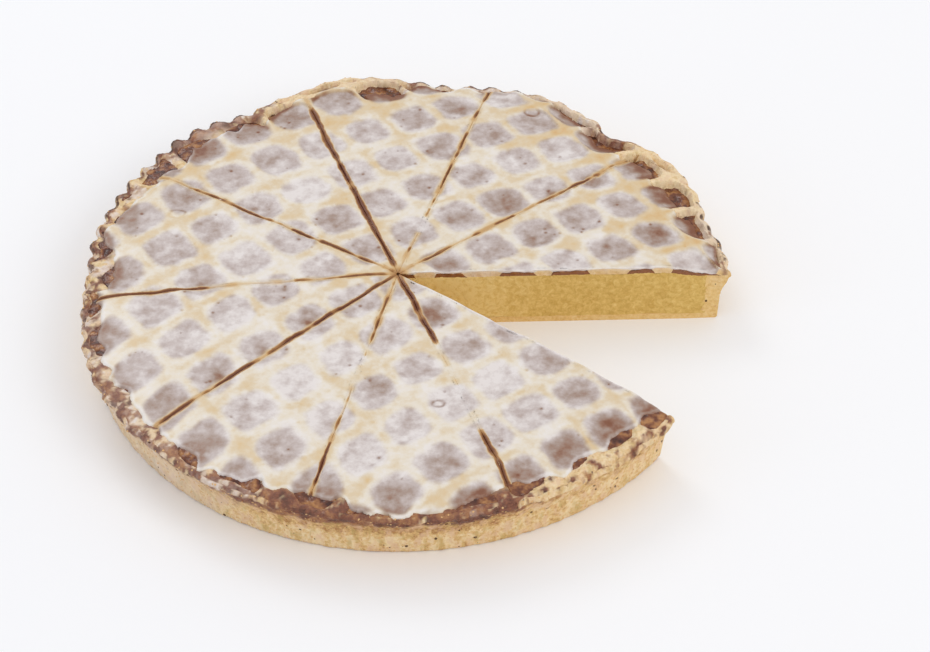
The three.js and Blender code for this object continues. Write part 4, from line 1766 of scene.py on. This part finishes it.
@dataclass
class Shell:
    """The shortcrust shell: for each slice, a thin base and a fluted wall that ends in a rolled lip."""

    maker: SliceMaker
    heights: LayerHeights
    base_thickness: float = 3.0
    inner_base_radius: float = 128.0
    inner_top_radius: float = 129.4
    inner_top: float = 24.3
    column_width: float = 0.62
    wall_rows: int = 30
    lip_rows: int = 24
    wall_flute_share: float = 0.3
    foot_inset: float = 0.8
    wall_starts: float = 0.8
    wall_ends: float = 22.6
    wall_down_from: float = 25.5
    flare_at: Span = (13.0, 24.5)
    flare_share: float = 0.8
    browns_at: Span = (8.0, 15.0)
    lip_starts: float = -0.12
    tuck: float = 1.6
    blunt_tip: float = 1.5
    unseen: float = 30.0
    outside_to: float = 26.0

    def section(self, bearing: Array) -> dict[str, Array]:
        """The closed outline of the crust in planes through where the cuts meet.

        Args:
            bearing: The planes' directions, in radians.

        Returns:
            Named numbers for every point, each with one row for a direction: its distance from
            where the cuts meet, its height, flute depth, toasting, crumbling, and distance down
            from the lip.
        """
        plan = self.maker.plan
        cx, cy = plan.cut_centre
        lip_at = plan.lip_reach(bearing)
        angle = np.arctan2(cy + lip_at * np.sin(bearing), cx + lip_at * np.cos(bearing))
        lip_flute = plan.lip_flute.at(angle)
        ridge = plan.ridge.at(angle)
        half, top = self.heights.lip_size(angle)
        lip_base = self.heights.lip_base
        points: dict[str, list[Array]] = {}

        def point(distance: Array, height: Array | float, **rest: Array | float) -> None:
            """Add one point of the outline for every direction."""
            for key, value in dict(along=distance, height=height, **rest).items():
                points.setdefault(key, []).append(np.broadcast_to(value, bearing.shape))

        tip = np.full_like(bearing, self.blunt_tip)
        foot = plan.foot.at(angle)
        base_edge = plan.reach(bearing, plan.base_radius - self.foot_inset + foot)
        for share in (*np.linspace(0.0, 0.9, 10), 0.95, 0.985, 1.0):
            edge = self.wall_flute_share * lip_flute * (share == 1.0)
            point(tip + share * (base_edge - tip), 0.0, flute=edge, toast=0.45, crumble=0.0, down=self.unseen)
        browned = self.heights.browned.at(angle)
        lean = (plan.wall_radius - plan.base_radius - foot) / plan.wall_top
        for level in np.linspace(self.wall_starts, self.wall_ends, self.wall_rows):
            flare, brown = (float(smooth_step(*at, level)) for at in (self.flare_at, self.browns_at))
            straight = plan.reach(bearing, plan.base_radius + foot + lean * level)
            shallow = self.wall_flute_share * lip_flute
            point(
                straight + flare * (lip_at - straight) * self.flare_share,
                level,
                flute=shallow + flare * (lip_flute - shallow),
                toast=0.2 + 0.25 * flare + 0.4 * browned * brown,
                crumble=0.6 + 0.3 * flare,
                down=self.wall_down_from - level,
            )
        for turn in np.linspace(self.lip_starts, 1.0, self.lip_rows) * math.pi:
            inside = half * (1 - math.cos(turn))
            rise = (top - lip_base) if turn > 0 else self.tuck
            point(
                lip_at - inside,
                lip_base + rise * math.sin(turn),
                flute=lip_flute * plan.flute_fade(inside),
                toast=0.22 + 0.15 * math.sin(max(turn, 0)) - 0.35 * ridge,
                crumble=(1.0 - 0.65 * ridge) * (1.0 - 0.6 * max(0.0, turn / math.pi - 0.6) / 0.4),
                down=np.where(turn < 0.5 * math.pi, 1.5 - inside - 2.0 * (turn < 0) * turn, -inside),
            )
        inner = dict(flute=0.0, toast=0.1, crumble=0.0, down=self.unseen)
        for level in np.linspace(self.inner_top, self.base_thickness + 0.2, 5):
            share = (level - self.base_thickness) / (self.inner_top - self.base_thickness)
            wide = self.inner_base_radius + share * (self.inner_top_radius - self.inner_base_radius)
            point(plan.reach(bearing, wide), level, **inner)
        inner_edge = plan.reach(bearing, self.inner_base_radius)
        for share in (0.97, 0.6, 0.2, 0.0):
            point(tip + share * (inner_edge - tip), self.base_thickness, **inner)
        return {key: np.stack(values, 1) for key, values in points.items()}

    def build(self, piece: int, press: Tree, material: Material) -> Piece:
        """Make one slice's crust.

        Args:
            piece: The slice's number, from 0.
            press: The tree that presses the flutes.
            material: Its material.

        Returns:
            The finished crust.
        """
        plan = self.maker.plan
        first, second = plan.bearings(piece)
        columns = int((second - first) * plan.lip_radius / self.column_width) + 1
        share = np.linspace(0, 1, columns)
        outline = self.section(first + share * (second - first))
        along = np.maximum(outline["along"], plan.tip(piece))
        x, y = plan.slice_place(piece, np.broadcast_to(share[:, None], along.shape), along)
        rows = along.shape[1]
        number = np.arange(columns * rows).reshape(columns, rows)
        quads = wrapped(number[:-1], number[1:])
        faces = [*quads, number[0].tolist(), number[-1][::-1].tolist()]
        places = np.stack([x, y, outline["height"]], 2).reshape(-1, 3)
        angle = np.arctan2(y, x)
        glaze, veil = self.heights.spilled(angle, outline["down"])
        at_cut = np.zeros_like(along)
        at_cut[0] = plan.cuts[piece].open_face
        at_cut[-1] = plan.cuts[piece + 1].open_face
        outline["crumble"][[0, -1]] *= 0.3
        outside = (outline["down"] > -1.0) & (outline["down"] < self.outside_to)
        looks = {
            Reads.FLUTE: outline["flute"] * MM,
            Reads.TOAST: outline["toast"],
            Reads.CRUMBLE: outline["crumble"] * (1 + 0.5 * glaze - 0.4 * veil),
            Reads.GLAZE: glaze,
            Reads.VEIL: veil,
            Reads.EDGE_DARK: self.heights.edge_darkened(angle, outline["down"]),
            Reads.CUT: at_cut,
            Reads.OUTSIDE: outside,
        }
        crust = self.maker.mesh(f"fluted_crust_{piece + 1}", places, faces, looks)
        axis = self.maker.axis
        values = {"Flutes": float(plan.flutes), "Axis": (axis.x, axis.y, 0.0)}
        ShapeRule.apply(crust, press, values)
        dress(crust, "pastry", f"crust_{piece + 1}", material=material)
        return crust


@dataclass
class Filling:
    """The almond filling: a thick wedge whose cut faces show its crumb."""

    maker: SliceMaker
    heights: LayerHeights
    bottom: float = 2.9
    outer_radius: float = 129.6
    tucked: float = 0.2
    shown_step: float = 0.8
    hidden_step: float = 3.0
    arc_points: int = 30
    # Painted light: where the face is painted paler towards the middle, and the offset that leaves its outer
    # end a little darker.
    painted_fill_at: Span = (75.0, 15.0)
    painted_fill_offset: float = 0.22

    def build(self, piece: int, torn: Tree, material: Material) -> None:
        """Make one slice's filling.

        Args:
            piece: The slice's number, from 0.
            torn: The tree that roughens its faces.
            material: Its material.
        """
        plan = self.maker.plan
        first, second = plan.bearings(piece)
        shown = (plan.cuts[piece].open_face, plan.cuts[piece + 1].open_face)
        steps = [self.shown_step if face else self.hidden_step for face in shown]
        tip = plan.tip(piece)
        far = plan.reach(np.array([first, second]), self.outer_radius)
        out = np.linspace(tip, far[0], int((far[0] - tip) / steps[0]))
        back = np.linspace(far[1], tip, int((far[1] - tip) / steps[1]))
        arc_share = np.linspace(0, 1, self.arc_points + 2)[1:-1]
        arc_reach = plan.reach(first + arc_share * (second - first), self.outer_radius)
        share = np.concatenate([np.zeros(len(out)), arc_share, np.ones(len(back))])
        along = np.concatenate([out, arc_reach, back])
        x, y = plan.slice_place(piece, share, along)
        level = np.linspace(0, 1, int((self.heights.filling_top - self.bottom) / min(steps)) + 1)
        top = self.heights.filled(np.hypot(x, y)) + self.tucked
        count, rows = len(x), len(level)
        height = self.bottom + level[:, None] * (top[None, :] - self.bottom)
        places = np.stack([np.tile(x, rows), np.tile(y, rows), height.ravel()], 1)
        number = np.arange(count * rows).reshape(rows, count)
        low, high = number[:-1], number[1:]
        quads = np.stack([low, np.roll(low, -1, 1), np.roll(high, -1, 1), high], 2)
        faces = [*quads.reshape(-1, 4).tolist(), number[0][::-1].tolist(), number[-1].tolist()]
        looks = {Reads.PAINTED_FILL_LIGHT: smooth_step(*self.painted_fill_at, np.tile(np.hypot(x, y), rows)) - self.painted_fill_offset}
        filling = self.maker.mesh(f"almond_filling_{piece + 1}", places, faces, looks)
        ShapeRule.apply(filling, torn, {})
        dress(filling, "filling", f"frangipane_{piece + 1}", material=material)


@dataclass
class TopLayers:
    """The three thin layers that lie on the filling: jam, pastry lattice and icing."""

    maker: SliceMaker
    heights: LayerHeights
    jam_spacing: float = 1.1
    pastry_spacing: float = 0.8
    icing_spacing: float = 0.55
    rim_inset: float = 1.2
    jam_inset: float = 1.2
    buried: float = 0.6
    lattice_toast: float = 0.6

    @property
    def lowest(self) -> float:
        """The height of the layers' hidden undersides, inside the filling."""
        return self.heights.filling_top - self.heights.filling_fall - self.buried

    def build(self, piece: int, finishes: Finishes) -> None:
        """Make one slice's jam, lattice and icing.

        Args:
            piece: The slice's number, from 0.
            finishes: The materials.
        """
        self.build_jam(piece, finishes.jam)
        self.build_lattice(piece, finishes.crust)
        self.build_icing(piece, finishes.icing)

    def build_jam(self, piece: int, material: Material) -> None:
        """Make one slice's jam, which fills the lattice's openings and lies thin under its strips.

        Args:
            piece: The slice's number, from 0.
            material: Its material.
        """
        grid = self.maker.grid(piece, self.jam_spacing, self.rim_inset + self.jam_inset)
        tops = self.heights.measure(grid)
        under = self.heights.filled(np.hypot(grid.x, grid.y))
        jam = self.maker.slab(f"jam_layer_{piece + 1}", grid, tops.jam, under, self.lowest, {})
        dress(jam, "jam", f"jam_{piece + 1}", material=material)

    def build_lattice(self, piece: int, material: Material) -> None:
        """Make one slice's share of the pastry lattice.

        Args:
            piece: The slice's number, from 0.
            material: Its material.
        """
        grid = self.maker.grid(piece, self.pastry_spacing, self.rim_inset)
        tops = self.heights.measure(grid)
        filled = self.heights.filled(np.hypot(grid.x, grid.y))
        looks = {
            Reads.TOAST: tops.toast * self.lattice_toast,
            Reads.GLAZE: tops.glaze,
            Reads.VEIL: tops.veil,
            Reads.EDGE_DARK: tops.edge_dark,
        }
        below = np.maximum(tops.jam, filled)
        name = f"pastry_lattice_{piece + 1}"
        lattice = self.maker.slab(name, grid, tops.lattice, below, self.lowest, looks)
        dress(lattice, "lattice_pastry", f"lattice_{piece + 1}", material=material)

    def build_icing(self, piece: int, material: Material) -> None:
        """Make one slice's icing, which sinks under the other layers where there is none.

        Args:
            piece: The slice's number, from 0.
            material: Its material.
        """
        grid = self.maker.grid(piece, self.icing_spacing, self.rim_inset, heal=True)
        tops = self.heights.measure(grid)
        looks = {Reads.STRIP: tops.strip, Reads.MILK: tops.milk, Reads.STAIN_AND_SHADE: grid.stain_and_shade}
        below = np.maximum(tops.lattice, tops.jam)
        icing = self.maker.slab(f"water_icing_{piece + 1}", grid, tops.icing, below, self.lowest, looks)
        dress(icing, "icing", material=material)


@dataclass(frozen=True)
class SoftBox:
    """A square soft light that faces the tart, with its place in metres and its power in watts."""

    name: str
    place: tuple[float, float, float]
    size: float
    power: float
    colour: str


@dataclass
class Studio:
    """The plain studio around the tart: a pale floor, soft lights and the camera."""

    axis: Vector
    camera_distance: float = 1.4186
    camera_height_angle: float = 42.386
    camera_roll: float = -0.698
    aim: Span = (0.0261, 0.00125)
    lens: float = 127.7
    floor_size: float = 8.0
    surround: str = "#F9FAFE"
    surround_strength: float = 0.755
    soft_boxes: tuple[SoftBox, ...] = (
        SoftBox("front_right", (2.0, -1.4, 2.0), 1.7, 20.5, "#FFF8EE"),
        SoftBox("left_fill", (-2.2, -0.7, 0.7), 1.2, 5.0, "#B9D3FF"),
        SoftBox("overhead", (0.0, 0.0, 2.2), 2.5, 4.5, "#FFFFFF"),
        SoftBox("back_left", (-0.7, 1.3, 1.4), 0.8, 5.0, "#FCFDFF"),
    )

    def build(self) -> None:
        """Make the floor, the lights and the camera."""
        self.build_floor()
        self.build_lights()
        self.build_camera()

    def build_floor(self) -> None:
        """Lay a large flat floor under the tart."""
        data = bpy.data.meshes.new("floor")
        half = self.floor_size / 2
        corners = [(-half, -half, 0), (half, -half, 0), (half, half, 0), (-half, half, 0)]
        data.from_pydata(corners, [], [(0, 1, 2, 3)])
        pale = EvenFinish("studio_floor", "#FAFAFA", roughness=0.9, specular=0.1)
        data.materials.append(pale.build())
        floor = bpy.data.objects.new("floor", data)
        bpy.context.collection.objects.link(floor)

    def build_lights(self) -> None:
        """Light the tart from a bright surround and from soft boxes."""
        world = bpy.data.worlds.new("light_tent")
        world.use_nodes = True
        sky = world.node_tree.nodes["Background"]
        sky.inputs["Color"].default_value = linear(self.surround)
        sky.inputs["Strength"].default_value = self.surround_strength
        bpy.context.scene.world = world
        for box in self.soft_boxes:
            data = bpy.data.lights.new(box.name, "AREA")
            data.size = box.size
            data.energy = box.power
            data.color = linear(box.colour)[:3]
            light = bpy.data.objects.new(box.name, data)
            light.location = Vector(box.place) + self.axis
            light.rotation_euler = (self.axis - light.location).to_track_quat("-Z", "Y").to_euler()
            bpy.context.collection.objects.link(light)

    def build_camera(self) -> None:
        """Look down on the tart from in front through a long lens."""
        data = bpy.data.cameras.new("camera")
        data.lens = self.lens
        data.clip_start = 0.05
        camera = bpy.data.objects.new("camera", data)
        tilt = math.radians(self.camera_height_angle)
        away = Vector((0, -math.cos(tilt), math.sin(tilt))) * self.camera_distance
        target = Vector((*self.aim, 0)) + self.axis
        place = away + self.axis
        look = (target - place).to_track_quat("-Z", "Y")
        turned = look.to_matrix().to_4x4() @ Matrix.Rotation(math.radians(self.camera_roll), 4, "Z")
        camera.matrix_world = Matrix.Translation(place) @ turned
        bpy.context.collection.objects.link(camera)
        bpy.context.scene.camera = camera


def tart_axis() -> Vector:
    """Find the tart's axis in the frame, from the boxes of the round filling's slices."""
    boxes = [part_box(name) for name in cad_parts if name.startswith("frangipane_")]
    low = np.min([box[0] for box in boxes], axis=0)
    high = np.max([box[1] for box in boxes], axis=0)
    return Vector(((low[0] + high[0]) / 2, (low[1] + high[1]) / 2, 0.0))


def main() -> None:
    """Build the tart slice by slice, then the studio."""
    axis = tart_axis()
    plan = TartPlan()
    maker = SliceMaker(plan, axis)
    heights = LayerHeights(plan)
    finishes = Finishes(WaterIcing().build(), BakedJam().build(), Shortcrust().build(), AlmondCrumb().build())
    press = FlutePress().tree(finishes.crust)
    torn = TornCrumb().tree(finishes.crumb)
    scatter = Scatter()
    crumbs = scatter.tree(EvenFinish("baked_crumbs", "#DDB37C").build())
    flecks = scatter.tree(EvenFinish("burnt_flecks", "#5E3F24").build())
    shell = Shell(maker, heights)
    filling = Filling(maker, heights)
    layers = TopLayers(maker, heights)
    sparse = {"Density": 5000.0, "Smallest": 0.0002, "Largest": 0.0009, "Flatness": 0.35}
    for piece in plan.slices:
        crust = shell.build(piece, press, finishes.crust)
        scatter.strew(f"crust_crumbs_{piece + 1}", crust, crumbs, {"Seed": piece + 1})
        scatter.strew(f"burnt_flecks_{piece + 1}", crust, flecks, {**sparse, "Seed": 40 + piece})
        filling.build(piece, torn, finishes.crumb)
        layers.build(piece, finishes)
    bpy.context.scene.view_settings.view_transform = "Standard"
    Studio(axis).build()


if __name__ == "__main__":
    main()
